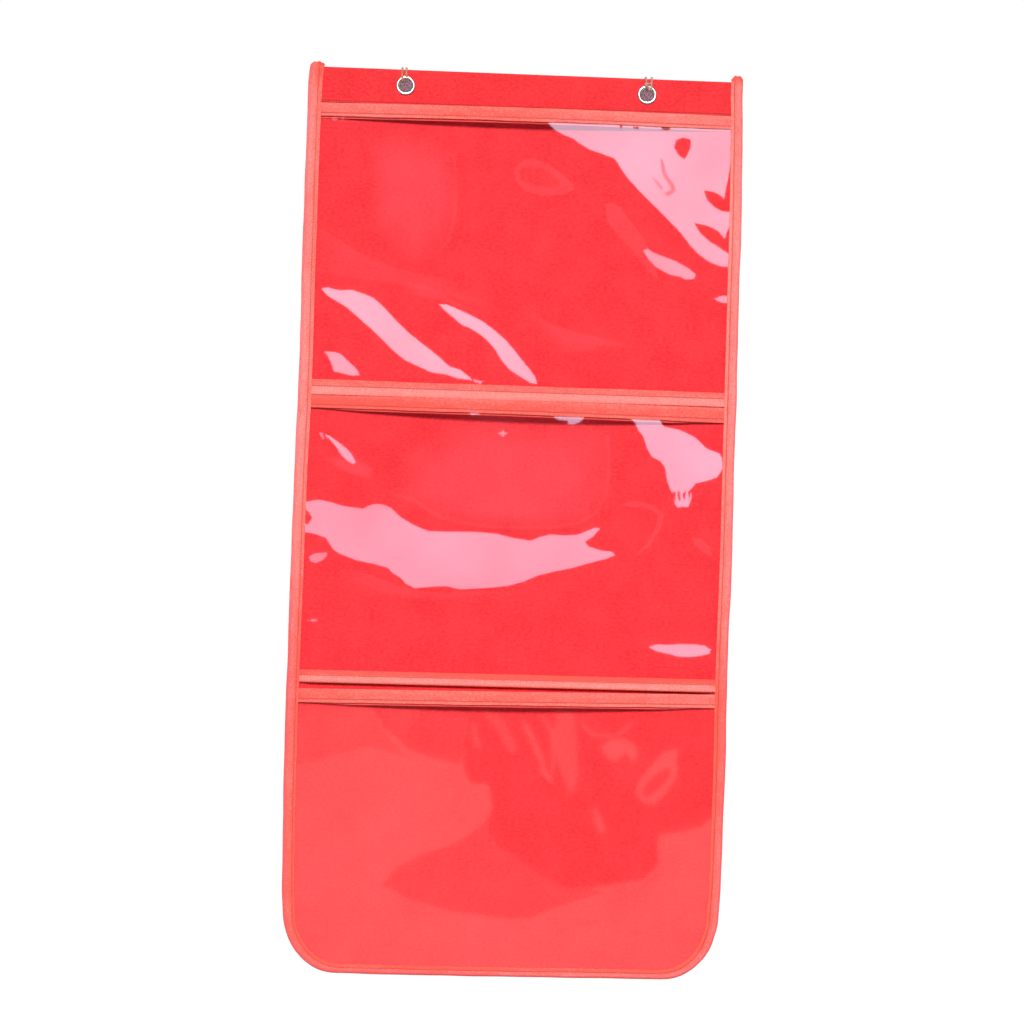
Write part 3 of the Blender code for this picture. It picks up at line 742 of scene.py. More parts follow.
def tape_rows(width):
    """Places round a folded tape's section: distance off the sheet's middle and distance from the fold."""
    fold_reach = (-TAPE_OFF_SHEET, TAPE_THICKNESS / 2 - TAPE_FOLD_DEPTH)
    rows = [(-TAPE_OFF_SHEET, from_fold) for from_fold in spread(width, TAPE_FOLD_DEPTH, TAPE_FRONT_ROWS)[:-1]]
    rows += arc((0.0, TAPE_FOLD_DEPTH), fold_reach, 0, 1, TAPE_BACK_ROWS)
    rows += [(TAPE_OFF_SHEET, from_fold) for from_fold in spread(TAPE_FOLD_DEPTH, width, TAPE_BACK_ROWS)[1:]]
    return rows


# What each vertex of a tape carries for its finish. Besides the binding's sealed tail ends, the third mark paints shade
# on the mouth tapes' back leaves
TAPE_MARKS = ("pale", "rosy", "sealed_end_and_shade", "seam")

# How much lower each sewn tape sits than in the part: at its fold and at its free edge, each on the left and the right
TAPE_SEATS = {
    "mouth_upper": ((0.0026, 0.0011), (0.0021, 0.0006)),
    "mouth_middle": ((0.0015, 0.0006), (0.0001, 0.0014)),
    "mouth_lower": ((0.0005, -0.0003), (0.0, -0.0010)),
    "foot_upper": ((0.0022, 0.0011), (0.0003, 0.0)),
    "foot_middle": ((0.0019, 0.0001), (0.0024, 0.0003)),
}


def lowered(tape, x, share):
    """How much lower a tape sits at a place across it, and at a share of the way from its fold to its free edge."""
    fold, free = TAPE_SEATS[tape]
    right = clamp(x / (2 * TAPE_END_X) + 0.5)
    at_fold = fold[0] + (fold[1] - fold[0]) * right
    at_free = free[0] + (free[1] - free[0]) * right
    return at_fold + (at_free - at_fold) * share


# How pale each tape's front is from left to right, and how much more so at its fold: painted light on the mouth tapes'
# upper folds, painted shade on the middle foot tape's lower fold
TAPE_TONES = {
    "mouth_upper": (((-0.15, 0.22), (-0.10, 0.26), (-0.04, 0.10), (0.03, 0.30), (0.09, 0.36)), 0.10),
    "mouth_middle": (((-0.15, -0.08), (-0.10, -0.05), (-0.04, 0.06), (0.03, 0.02), (0.09, 0.10)), 0.20),
    "mouth_lower": (((-0.15, 0.12), (-0.10, 0.14), (-0.04, 0.21), (0.03, 0.24), (0.09, 0.29)), 0.08),
    "foot_upper": (((-0.15, 0.56), (0.15, 0.56)), 0.0),
    "foot_middle": (((-0.15, 0.40), (-0.10, 0.36), (0.15, 0.42)), -0.25),
}
# How much painted shade darkens the middle foot tape's lifted lip, from left to right
FOOT_LIP_SHADES = ((-0.15, 0.40), (-0.10, 0.48), (-0.04, 0.58), (0.15, 0.62))


def make_tape(finish, pocket, kind, seed):
    """A tape folded over a sheet's edge: soft between its fold and its seam, with a lip that lifts past the seam."""
    at_mouth = kind == "mouth"
    width = MOUTH_TAPE_WIDTH if at_mouth else FOOT_TAPE_WIDTH
    seam = MOUTH_SEAM if at_mouth else FOOT_SEAM
    tape_name = kind + "_" + pocket.name
    tones, fold_light_and_shade = TAPE_TONES[tape_name]
    rows = tape_rows(width)
    columns = math.ceil(2 * TAPE_END_X / STATION_STEP)

    def place(column, row):
        off_sheet, from_fold = rows[row]
        x = TAPE_END_X * (2 * column / columns - 1)
        inner = clamp((TAPE_END_X - abs(x)) / 0.012)
        wander = TAPE_EDGE_WANDER * ripple(x, 0.1 * seed, seed) * inner
        front = off_sheet < 0
        shade = 0.0
        if at_mouth:
            if off_sheet > 0:
                # Painted shade on the back leaf that shows through the film below the front lip
                shade = 0.5 if pocket.name == "upper" else 0.25
                if from_fold > TAPE_FOLD_DEPTH:
                    ease = 1.0 if pocket.name == "upper" else min((TAPE_END_X - abs(x)) / 0.05, 1.0)
                    from_fold += BACK_LEAF_EXTRA * ease * (from_fold - TAPE_FOLD_DEPTH) / (width - TAPE_FOLD_DEPTH)
            z = pocket.mouth_at(x) - from_fold
        else:
            z = pocket.foot_z - TAPE_FOLD_DEPTH + from_fold
        z -= lowered(tape_name, x, min(from_fold / width, 1.0))
        y = pocket.sheet_y(x, z) + off_sheet
        pale = at(tones, x) + 0.06 * ripple(x * 0.4, 0.03 * seed, seed + 5)
        seam_and_shade = 0.0
        if front:
            seam_and_shade = bell(from_fold - seam, SEAM_MARK_WIDTH)
            pillow = TAPE_PILLOW * math.sin(math.pi * min(from_fold / seam, 1.0))
            lip = max(from_fold - seam, 0.0) / (width - seam)
            pucker = PUCKER_HEIGHT * math.sin(2 * math.pi * x / STITCH_PITCH) * bell(from_fold - seam, 0.0012)
            y -= (pillow + TAPE_LIP_LIFT * lip ** 1.3 + pucker) * inner
            y += TAPE_SEAM_DENT * bell(from_fold - seam, 0.0006)
            y -= TAPE_LIP_WAVE * (ripple(3 * x, z, seed) + 1) * inner * lip
            z += wander * lip * (1 if at_mouth else -1)
            if at_mouth:
                # Painted highlight along the lifted lip, and painted light on the upper fold
                pale += 0.12 * bell(lip - 0.6, 0.35) + fold_light_and_shade * bell(from_fold, 0.4 * seam)
            else:
                # Painted highlight on the pillow between fold and seam, painted shade on the lifted lip and, for the
                # middle foot tape, on its lower fold
                lip_shade = 0.25 if pocket.name == "upper" else at(FOOT_LIP_SHADES, x)
                pale += 0.30 * bell(from_fold - 0.4 * seam, 0.5 * seam) - lip_shade * min(4 * lip, 1.0)
                pale += fold_light_and_shade * bell(from_fold, 0.0016)
        else:
            # Painted shade on the tape's back
            pale -= 0.4
        # Painted shade along the middle foot tape's lower fold, drawn with the seam's dark mark and needle dots
        if tape_name == "foot_middle":
            seam_and_shade = max(seam_and_shade, bell(from_fold, 0.0010))
        return Vector((x, y, z)), (x, from_fold if front else -from_fold), (pale, 0.1, shade, seam_and_shade)

    tape = strip(kind + "_tape_folded_" + pocket.name, finish, columns, len(rows) - 1, place, TAPE_MARKS)
    return thicken(tape, TAPE_THICKNESS)


# Binding


def slot_front(z, crossings):
    """How deep the binding's slot is at a height: it rises over the hem and over each tape under it."""
    depth = SLOT_SHEET_Y
    for low, high, level in crossings:
        share = clamp(min(z - low, high - z) / BINDING_RAMP + 1.0)
        depth = min(depth, SLOT_SHEET_Y + (level - SLOT_SHEET_Y) * smooth(share))
    return depth


def binding_crossings():
    """What the binding crosses besides the sheets: each one's lowest and highest place, and the depth of its front."""
    crossings = [(TOP_Z - HEM_DEPTH, TOP_Z + 0.02, SLOT_HEM_Y)]
    for pocket in POCKETS:
        reach = abs(pocket.tilt_share) * HALF_WIDTH
        sink = max(TAPE_SEATS["mouth_" + pocket.name][1])
        low = pocket.mouth_z - MOUTH_TAPE_WIDTH - reach - sink
        crossings.append((low, pocket.mouth_z + reach, SLOT_TAPE_Y))
    for pocket in POCKETS[:2]:
        low = pocket.foot_z - TAPE_FOLD_DEPTH
        sink = max(TAPE_SEATS["foot_" + pocket.name][0])
        crossings.append((low - sink, low + FOOT_TAPE_WIDTH, SLOT_TAPE_Y))
    return crossings


# How much wider the left binding's front is than the right one's, at distances below the top edge
LEFT_BINDING_EXTRAS = ((-0.004, 0.0016), (0.03, 0.0013), (0.30, 0.0008), (0.48, 0.0003), (0.60, 0.0))


class Station:
    """A place along the binding: its outer edge, the way to the cloth, its widths, and how full and how high it is."""

    def __init__(self, place, inward, bottom_share, fullness, along, slot_y):
        self.place = place
        self.inward = inward
        extra = 0.0 if place.x > 0 else at(LEFT_BINDING_EXTRAS, TOP_Z - place.z)
        self.width = BINDING_SIDE_WIDTH + extra + (BINDING_BOTTOM_WIDTH - BINDING_SIDE_WIDTH) * bottom_share
        side_seam = SIDE_SEAM + (0.0 if place.x > 0 else LEFT_SEAM_EXTRA)
        self.seam = side_seam + (BOTTOM_SEAM - side_seam) * bottom_share
        self.fullness = fullness
        self.along = along
        self.slot_y = slot_y


def binding_stations():
    """Stations down the left side, round both corners and up the right side, with both tails."""
    crossings = binding_crossings()

    def evenly(first, last):
        return spread(first, last, math.ceil(abs(last - first) / STATION_STEP))

    def side(sign, tail, radius):
        heights = evenly(TOP_Z + tail, BOTTOM_Z + radius)
        spots = [(Vector((sign * HALF_WIDTH, 0, z)), Vector((-sign, 0, 0)), 0.0) for z in heights]
        centre = Vector((sign * (HALF_WIDTH - radius), 0, BOTTOM_Z + radius))
        for reach in evenly(0.0, math.pi / 2 * radius)[1:-1]:
            turn = reach / radius
            outward = Vector((sign * math.cos(turn), 0, -math.sin(turn)))
            spots.append((centre + radius * outward, -outward, turn / (math.pi / 2)))
        return spots

    bottom = [(Vector((x, 0, BOTTOM_Z)), Vector((0, 0, 1)), 1.0)
              for x in evenly(CORNER_RADIUS_LEFT - HALF_WIDTH, HALF_WIDTH - CORNER_RADIUS_RIGHT)]
    right = side(1, BINDING_RIGHT_TAIL, CORNER_RADIUS_RIGHT)
    spots = side(-1, BINDING_LEFT_TAIL, CORNER_RADIUS_LEFT) + bottom + right[::-1]
    stations = []
    for (place, inward, bottom_share), along in zip(spots, lengths_along([spot[0] for spot in spots])):
        tail = BINDING_LEFT_TAIL if place.x < 0 else BINDING_RIGHT_TAIL
        fullness = 1.0 - TAIL_FLATTENING * clamp((place.z - TOP_Z) / tail)
        stations.append(Station(place, inward, bottom_share, fullness, along, slot_front(place.z, crossings)))
    return stations


# Rows across the binding, from its inner edge in front round its fold to its inner edge behind, with shares of each
BINDING_ROWS = ([("front", share) for share in spread(0.0, 1.0, BINDING_FRONT_ROWS)[:-1]]
                + [("fold", share) for share in spread(0.0, 1.0, BINDING_FOLD_ROWS)]
                + [("back", share) for share in spread(0.0, 1.0, TAPE_BACK_ROWS)[1:]])


def binding_point(station, kind, share):
    """A place on the binding's middle surface: its distance in from the outer edge, and its y."""
    half = TAPE_THICKNESS / 2
    back_y = LAYER_GAP + half
    front_y = station.slot_y - half
    middle = (back_y + front_y) / 2
    reach = (back_y - front_y) / 2 * station.fullness + half * (1 - station.fullness)
    fold = BINDING_FOLD_DEPTH
    if kind == "front":
        depth = station.width + (fold - station.width) * share
        y = middle - reach
    elif kind == "fold":
        turn = math.pi * share
        depth = fold - (fold - half) * math.sin(turn)
        y = middle - reach * math.cos(turn)
    else:
        depth = fold + (BINDING_BACK_WIDTH - fold) * share
        y = middle + reach
    return depth, y


def binding_surface(station, depth, y, front):
    """Adds the wear and puckers of sewn tape to a point of the binding."""
    along = station.along
    shift = BINDING_EDGE_WANDER * ripple(along * 0.8, 0.2, 3.3) * bell(depth, 0.004)
    if front:
        y += BINDING_SEAM_DENT * bell(depth - station.seam, 0.0007)
        y -= BINDING_PILLOW * math.sin(math.pi * clamp(depth / station.seam))
        y -= PUCKER_HEIGHT * math.sin(2 * math.pi * along / STITCH_PITCH) * bell(depth - station.seam, 0.0014)
        lip = max(depth - station.seam, 0.0) / (station.width - station.seam)
        y -= BINDING_LIP_WAVE * (1 + ripple(along * 3, 0.7, 1.2)) * lip
    point = station.place + station.inward * (depth + shift)
    # The tails end rounded and a little frayed
    above = max(point.z - TOP_Z, 0.0)
    across = abs(2 * depth / station.width - 1)
    point.z -= above * (0.62 * across ** 2.5 + 0.07 * math.sin(1500 * depth + 1))
    return Vector((point.x, y, point.z))


# How pale the binding is at distances below the top edge, and how much paler the right one's inner lip is
LEFT_TONES = (
    (0.0, 0.05), (0.03, 0.26), (0.055, 0.42), (0.127, 0.31), (0.19, 0.40), (0.31, 0.49), (0.40, 0.29), (0.465, 0.10),
    (0.56, 0.01), (0.64, -0.04), (0.70, -0.06), (0.725, 0.0),
)
RIGHT_TONES = (
    (0.0, 0.33), (0.055, 0.33), (0.127, 0.40), (0.19, 0.40), (0.31, 0.30), (0.40, 0.34), (0.465, 0.10),
    (0.50, -0.12), (0.53, -0.12), (0.56, 0.0), (0.64, 0.02), (0.70, 0.0), (0.725, 0.10),
)
RIGHT_LIP_TONES = ((0.0, 0.23), (0.127, 0.27), (0.19, 0.16), (0.31, 0.11), (0.465, 0.05), (0.56, 0.0), (0.64, -0.10))


def make_binding(finish, stations):
    """One tape folded round three sides of the pouch."""

    def place(column, row):
        station = stations[column]
        kind, share = BINDING_ROWS[row]
        front = kind == "front"
        depth, y = binding_point(station, kind, share)
        point = binding_surface(station, depth, y, front)
        right = station.place.x > 0
        drop = TOP_Z - station.place.z
        pale = at(RIGHT_TONES if right else LEFT_TONES, drop) + 0.08 * ripple(station.along * 0.6, 0.0, 8.0)
        seam_and_shade = 0.0
        if front:
            # Painted highlight along the raised middle of the front; its outer fold is paler on the right and darker on
            # the left
            pale += 0.15 * bell(depth - 0.5 * station.seam, 0.0025) + (0.30 if right else -0.25) * bell(depth, 0.002)
            seam_and_shade = bell(depth - station.seam, SEAM_MARK_WIDTH)
            if depth > station.seam:
                pale += at(RIGHT_LIP_TONES, drop) if right else -0.06
        rosy = 1 - clamp((depth - 0.002) / 0.004)
        if right:
            sealed_end_and_shade = clamp((0.004 - drop) / 0.006)
        else:
            sealed_end_and_shade = clamp((0.014 - drop) / 0.012) * clamp((depth - 0.0035) / 0.003, 0.15)
        return point, (station.along, depth if front else -depth), (pale, rosy, sealed_end_and_shade, seam_and_shade)

    binding = strip("edge_binding_tape", finish, len(stations) - 1, len(BINDING_ROWS) - 1, place, TAPE_MARKS)
    return thicken(binding, TAPE_THICKNESS)


# Stitches


def stitch_shape():
    """Corners and faces of one run of thread, a flattened ball of unit half sizes along X."""
    bm = bmesh.new()
    bmesh.ops.create_uvsphere(bm, u_segments=6, v_segments=5, radius=1.0,
                              matrix=Matrix.Rotation(math.pi / 2, 4, "Y"))
    bm.verts.index_update()
    corners = [vert.co.copy() for vert in bm.verts]
    faces = [[vert.index for vert in face.verts] for face in bm.faces]
    bm.free()
    return corners, faces


STITCH_CORNERS, STITCH_FACES = stitch_shape()


def add_stitch(bm, point, along, outward):
    """A short, flat run of thread between two needle holes."""
    side = outward.cross(along).normalized()
    turn = Matrix((along.normalized(), side, outward)).transposed()
    size = Vector((STITCH_LENGTH / 2, THREAD_WIDTH / 2, THREAD_WIDTH * 0.36))
    verts = [bm.verts.new(point + turn @ (corner * size)) for corner in STITCH_CORNERS]
    for face in STITCH_FACES:
        bm.faces.new([verts[index] for index in face])


def seam(bm, line, outward):
    """Stitches along a line of points, evenly spaced."""
    line = [fitted(point) for point in line]
    lengths = lengths_along(line)
    count = int(lengths[-1] / STITCH_PITCH)
    spot = 0
    for index in range(count):
        middle = (index + 0.5) * lengths[-1] / count
        while lengths[spot + 1] < middle:
            spot += 1
        share = (middle - lengths[spot]) / (lengths[spot + 1] - lengths[spot])
        point = line[spot].lerp(line[spot + 1], share)
        add_stitch(bm, point, line[spot + 1] - line[spot], outward)


def make_stitches(finish, stations):
    """Every seam that shows, in front and behind."""
    front = Vector((0, -1, 0))
    back = Vector((0, 1, 0))
    back_y = 0.00008
    bm = bmesh.new()
    ends = TAPE_END_X - BINDING_SIDE_WIDTH + 0.002
    xs = spread(-ends, ends, SEAM_SPANS)
    hem_tilt = HEM_TILT * HEM_SEAM_DROP / HEM_DEPTH
    seam(bm, [Vector((x, HEM_FRONT_Y - THREAD_RISE / 2, HEM_SEAM_Z + hem_tilt * x)) for x in xs], front)
    seam(bm, [Vector((x, back_y, HEM_SEAM_Z)) for x in xs], back)
    outer = TAPE_OFF_SHEET + TAPE_THICKNESS / 2 - THREAD_RISE
    for pocket in POCKETS:
        line = []
        for x in xs:
            z = pocket.mouth_at(x) - MOUTH_SEAM
            z -= lowered("mouth_" + pocket.name, x, MOUTH_SEAM / MOUTH_TAPE_WIDTH)
            line.append(Vector((x, pocket.sheet_y(x, z) - outer, z)))
        seam(bm, line, front)
    for pocket in POCKETS[:2]:
        spots = []
        for x in xs:
            sink = lowered("foot_" + pocket.name, x, FOOT_SEAM / FOOT_TAPE_WIDTH)
            spots.append((x, pocket.foot_z - TAPE_FOLD_DEPTH + FOOT_SEAM - sink))
        seam(bm, [Vector((x, pocket.sheet_y(x, z) - outer, z)) for x, z in spots], front)
        seam(bm, [Vector((x, back_y, z)) for x, z in spots], back)
    front_line, back_line = [], []
    for station in stations:
        if station.place.z > TOP_Z - 0.001:
            continue
        spot = station.place + station.inward * station.seam
        front_line.append(Vector((spot.x, station.slot_y - TAPE_THICKNESS + THREAD_RISE, spot.z)))
        back_line.append(Vector((spot.x, LAYER_GAP + TAPE_THICKNESS + 0.00003, spot.z)))
    seam(bm, front_line, front)
    seam(bm, back_line, back)
    return new_object("seam_stitches", bm, finish)


# Clear fronts


def film_wave(pocket, x, z):
    """Height of the low waves that soft film keeps. There are none at its sewn edges."""
    foot = pocket.foot_z + FOOT_TAPE_WIDTH
    mouth = pocket.mouth_at(x) - MOUTH_TAPE_WIDTH
    room = min(edge_reach(x < 0, z, BINDING_SIDE_WIDTH) - abs(x), z - foot, mouth - z)
    return FILM_WAVE * ripple(0.5 * x, 0.5 * z, 900 * pocket.bow) * smooth(clamp(room / 0.025))


def make_film(finish, pocket):
    """The clear front of a pocket: bowed out at its mouth, with the waves that soft film takes."""

    def place(column, row):
        side_share = 2 * column / FILM_COLUMNS - 1
        edge_x = side_share * TAPE_END_X
        top = pocket.mouth_at(edge_x) - TAPE_FOLD_DEPTH - lowered("mouth_" + pocket.name, edge_x, 0.0)
        z = pocket.foot_z + (top - pocket.foot_z) * row / FILM_ROWS
        x = side_share * (edge_reach(side_share < 0, z, BINDING_INSET) - LAYER_GAP)
        y = pocket.sheet_y(x, z) + film_wave(pocket, x, z)
        return Vector((x, y, z)), (x, z), ()

    film = strip("clear_front_" + pocket.name, finish, FILM_COLUMNS, FILM_ROWS, place)
    return towards(film, Vector((0, -1, 0)))


# Metal


def ring(name, finish, profile, centre, steps=72):
    """A ring turned about the Y axis from a closed outline of radius and y."""
    bm = bmesh.new()
    verts = [bm.verts.new((centre.x + radius, y, centre.z)) for radius, y in profile]
    edges = [bm.edges.new(pair) for pair in zip(verts, verts[1:] + verts[:1])]
    bmesh.ops.spin(bm, geom=verts + edges, cent=centre, axis=(0, 1, 0), angle=2 * math.pi, steps=steps,
                   use_merge=True)
    bmesh.ops.remove_doubles(bm, verts=bm.verts, dist=0.00001)
    for vert in bm.verts:
        away = vert.co - centre
        vert.co += Vector((away.x, 0, away.z)) * 0.004 * ripple(vert.co.x * 9, vert.co.z * 9, 4.0)
    made = new_solid(name, bm, finish)
    made.data.set_sharp_from_angle(angle=math.radians(60))
    return made


def make_eyelet(side, finish, centre):
    """A domed flange on its barrel, rolled over behind a loose washer."""
    bore = EYELET_BORE_RADIUS
    wall = bore + EYELET_WALL
    seat = SLOT_HEM_Y
    washer_back = LAYER_GAP + WASHER_THICKNESS
    curl_seat = washer_back + LAYER_GAP
    dome = arc(((EYELET_FLANGE_RADIUS + bore) / 2, 0.0), ((EYELET_FLANGE_RADIUS - bore) / 2, 1.0), 0, 1, 14)
    profile = [(radius, seat - EYELET_FLANGE_RISE * rise ** 0.75) for radius, rise in dome]
    profile += [(bore, seat + (curl_seat - seat) * share) for share in (0.3, 0.6)]
    curl_reach = EYELET_CURL_REACH / 2
    profile += arc((bore + curl_reach, curl_seat), (curl_reach, EYELET_CURL_RISE), 1, 0, 10)
    profile += [(wall, curl_seat), (wall, seat)]
    eyelet = ring("eyelet_ring_" + side, finish, profile, centre)
    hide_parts("eyelet_" + side)
    inner = wall + EYELET_CLEARANCE
    bevel = WASHER_BEVEL
    outline = [(inner, LAYER_GAP), (WASHER_RADIUS, LAYER_GAP)]
    outline += arc((WASHER_RADIUS - bevel, washer_back - bevel), (bevel, bevel), 0, 0.5, 4)
    outline += arc((inner + bevel, washer_back - bevel), (bevel, bevel), 0.5, 1, 4)
    washer = ring("eyelet_back_washer_" + side, finish, outline, centre)
    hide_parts("eyelet_washer_" + side)
    return eyelet, washer


# Twine

# A tie's turn round the header, seen from the side: depth and reach from the eyelet's middle at each place, with the
# share of the way from its x in the bore to its x at the top edge, and behind from there to the next turn's x in the
# bore. The last number behind is how far the second turn lifts to cross the first.
TWINE_FRONT_ROUTE = (
    (-0.0016, 0.00445, 0.0), (-0.0036, 0.00440, 0.0), (-0.0051, 0.00490, 0.0), (-0.0058, 0.00600, 0.1),
    (-0.0058, 0.00720, 0.2), (-0.0054, 0.00850, 0.4), (-0.0046, 0.01000, 0.6), (-0.0043, 0.01160, 0.8),
    (-0.0039, 0.01300, 0.9), (-0.0029, 0.01395, 1.0), (-0.0016, 0.01425, 1.0),
)
TWINE_BACK_ROUTE = (
    (-0.0003, 0.01395, 0.0, 0.0), (0.0006, 0.01310, 0.0, 0.2), (0.0010, 0.01180, 0.2, 0.7),
    (0.0013, 0.01040, 0.5, 1.0), (0.0018, 0.00900, 0.8, 0.7), (0.0025, 0.00760, 1.0, 0.2),
    (0.0028, 0.00620, 1.0, 0.0), (0.0022, 0.00500, 1.0, 0.0), (0.0006, 0.00445, 1.0, 0.0),
)
# Each tie's x in the bore and at the top edge, both in its two turns, and its knot's place
TIES = {
    "left": ((-0.0028, 0.0006), (-0.0030, 0.0003), Vector((-0.0012, 0.0042, 0.0102))),
    "right": ((-0.0002, 0.0030), (-0.0014, 0.0034), Vector((-0.0004, -0.0064, 0.0076))),
}
# A cut tail from inside the knot: how far to its side, away from the header and down
KNOT_TAIL = ((0.0, 0.0, 0.0), (0.0009, 0.0003, 0.0009), (0.0016, 0.0007, 0.0021), (0.0017, 0.0005, 0.0034))


def strand_height(x, reach):
    """Height of a strand: round the eyelet's middle as far as its flange goes, and level by the top edge."""
    round_z = math.sqrt(reach * reach - x * x)
    return round_z + (reach - round_z) * clamp((reach - EYELET_FLANGE_RADIUS) / (TOP_Z - EYELET_FLANGE_RADIUS))


def twine_route(lows, highs):
    """Points of both turns of a tie round the header, from each turn's x in the bore and at the top edge."""
    points = []
    for turn in (0, 1):
        for y, reach, up_share in TWINE_FRONT_ROUTE:
            x = lows[turn] + (highs[turn] - lows[turn]) * up_share
            points.append(Vector((x, y, strand_height(x, reach))))
        for y, reach, down_share, over_share in TWINE_BACK_ROUTE:
            x = highs[turn] + (lows[1 - turn] - highs[turn]) * down_share
            y += turn * over_share * TWINE_CROSSING_RISE
            points.append(Vector((x, y, strand_height(x, reach))))
    return points


def smooth_points(points, count, closed):
    """Points along a smooth curve through the given ones."""
    total = len(points)
    spans = total if closed else total - 1
    result = []
    for index in range(count if closed else count + 1):
        place = index * spans / count
        start = min(int(place), spans - 1)
        part = place - start
        near = range(start - 1, start + 3)
        p0, p1, p2, p3 = (points[spot % total if closed else clamp(spot, 0, total - 1)] for spot in near)
        b = (p2 - p0) * part
        c = (2 * p0 - 5 * p1 + 4 * p2 - p3) * part ** 2
        d = (3 * p1 - p0 - 3 * p2 + p3) * part ** 3
        result.append((2 * p1 + b + c + d) / 2)
    return result


def twisted_tube(bm, line, diameter, closed, plies=3, pitch=0.0030):
    """Plies of twine twisted round a line, each an open or closed tube."""
    layer = bm.loops.layers.uv.get("Weave") or bm.loops.layers.uv.new("Weave")
    total = len(line)
    lengths = lengths_along(line + line[:1])
    length = lengths[-1] if closed else lengths[-2]
    turns = max(round(length / pitch), 1)
    normal = Vector((1, 0, 0))
    frames = []
    for index in range(total):
        if closed:
            tangent = (line[(index + 1) % total] - line[index - 1]).normalized()
        else:
            tangent = (line[min(index + 1, total - 1)] - line[max(index - 1, 0)]).normalized()
        normal = (normal - tangent * normal.dot(tangent)).normalized()
        frames.append((normal.copy(), tangent.cross(normal)))
    ply_radius = diameter * 0.40
    offset = diameter * 0.33
    for ply in range(plies):
        rings = []
        for point, along, (across, up) in zip(line, lengths, frames):
            turn = 2 * math.pi * (turns * along / length + ply / plies)
            centre = point + (across * math.cos(turn) + up * math.sin(turn)) * offset
            radius = ply_radius * (1 + 0.12 * math.sin(along * 2100 + ply * 2.2))
            angles = [2 * math.pi * side / PLY_SIDES for side in range(PLY_SIDES)]
            rings.append([bm.verts.new(centre + (across * math.cos(angle) + up * math.sin(angle)) * radius)
                          for angle in angles])
        for first in range(total if closed else total - 1):
            here, there = rings[first], rings[(first + 1) % total]
            for side in range(PLY_SIDES):
                following = (side + 1) % PLY_SIDES
                face = bm.faces.new((here[side], here[following], there[following], there[side]))
                us = (lengths[first], lengths[first], lengths[first + 1], lengths[first + 1])
                for loop, u, v in zip(face.loops, us, (side, side + 1, side + 1, side)):
                    loop[layer].uv = (u, v * 0.0003)
        if not closed:
            bm.faces.new(rings[0][::-1])
            bm.faces.new(rings[-1])


def make_tie(side, finish, centre):
    """Twine tied twice round the header, its knot and the knot's two cut tails."""
    lows, highs, knot_at = TIES[side]
    route = smooth_points(twine_route(lows, highs), TIE_SPANS, True)
    nearest = min(range(len(route)), key=lambda index: (route[index] - knot_at).length)
    line = [centre + point for point in route[nearest:] + route[:nearest]]
    bm = bmesh.new()
    twisted_tube(bm, line, TWINE_DIAMETER, False)
    tie = new_solid("twine_loops_" + side, bm, finish)
    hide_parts("hang_tie_" + side)

    bm = bmesh.new()
    start = centre + knot_at
    trefoil = []
    for turn in spread(0.0, 2 * math.pi, KNOT_SPANS)[:-1]:
        x = math.sin(turn) + 2 * math.sin(2 * turn)
        z = math.cos(turn) - 2 * math.cos(2 * turn)
        trefoil.append(start + Vector((x, 1.1 * math.sin(3 * turn), z)) * KNOT_SIZE)
    twisted_tube(bm, trefoil, TWINE_DIAMETER * 0.82, True, pitch=0.0026)
    outward = -1 if knot_at.y < 0 else 1
    for lean, drop in ((-1, 0.9), (1, 1.3)):
        points = [start + Vector((lean * x, outward * y, -drop * z)) for x, y, z in KNOT_TAIL]
        twisted_tube(bm, smooth_points(points, 24, False), TWINE_DIAMETER * 0.75, False, pitch=0.0028)
    knot = new_solid("twine_knot_" + side, bm, finish)
    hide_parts("hang_tie_knot_" + side)
    return tie, knot, line


# Stage


def make_floor():
    """A wide pale floor below the pouch. The camera sees it nearly white, and it keeps the pouch's shadow."""
    finish = Finish("Pale floor")
    rays = finish.node("ShaderNodeLightPath", out="Is Camera Ray")
    place = finish.place()
    behind = finish.axes(place)[1].between(-0.3, 0.1)
    mirrored = (rays.other("Is Glossy Ray") + rays.other("Is Transmission Ray")) * behind
    grain = finish.noise(place, 3.0, 3.0, 0.5)
    plain = finish.node("ShaderNodeBsdfDiffuse", sockets={
        "Color": finish.mix(grain, (0.43, 0.43, 0.43, 1.0), (0.46, 0.46, 0.46, 1.0))})
    finish.blend((rays + mirrored).least(1.0) * 0.77, plain, finish.glow(WHITE, 1.22))
    bm = bmesh.new()
    bmesh.ops.create_grid(bm, x_segments=2, y_segments=2, size=7.0)
    bmesh.ops.translate(bm, verts=bm.verts, vec=(0, 0, FLOOR_Z))
    new_object("floor", bm, finish.material)


def make_bore_painted_shade(side):
    """A glowing grey disc behind an eyelet, seen from in front only: painted shade where the bore shows through."""
    finish = Finish("Painted shade in a bore")
    grain = finish.noise(finish.place(), 900.0, 3.0, 0.6)
    colour = finish.mix(grain.between(0.35, 0.65), (0.14, 0.075, 0.095, 1.0), (0.44, 0.25, 0.30, 1.0))
    behind = finish.node("ShaderNodeNewGeometry", out="Backfacing")
    finish.blend(behind, finish.glow(colour), finish.node("ShaderNodeBsdfTransparent"))
    bm = bmesh.new()
    bmesh.ops.create_circle(bm, cap_ends=True, segments=32, radius=0.0061)
    bmesh.ops.rotate(bm, verts=bm.verts, matrix=Matrix.Rotation(math.pi / 2, 3, "X"))
    bmesh.ops.translate(bm, verts=bm.verts, vec=(side * EYELET_SPACING / 2, 0.0046, 0))
    disc = new_object("bore_painted_shade_" + ("left" if side < 0 else "right"), bm, finish.material)
    towards(disc, Vector((0, -1, 0)))
    disc.visible_diffuse = False
    disc.visible_shadow = False


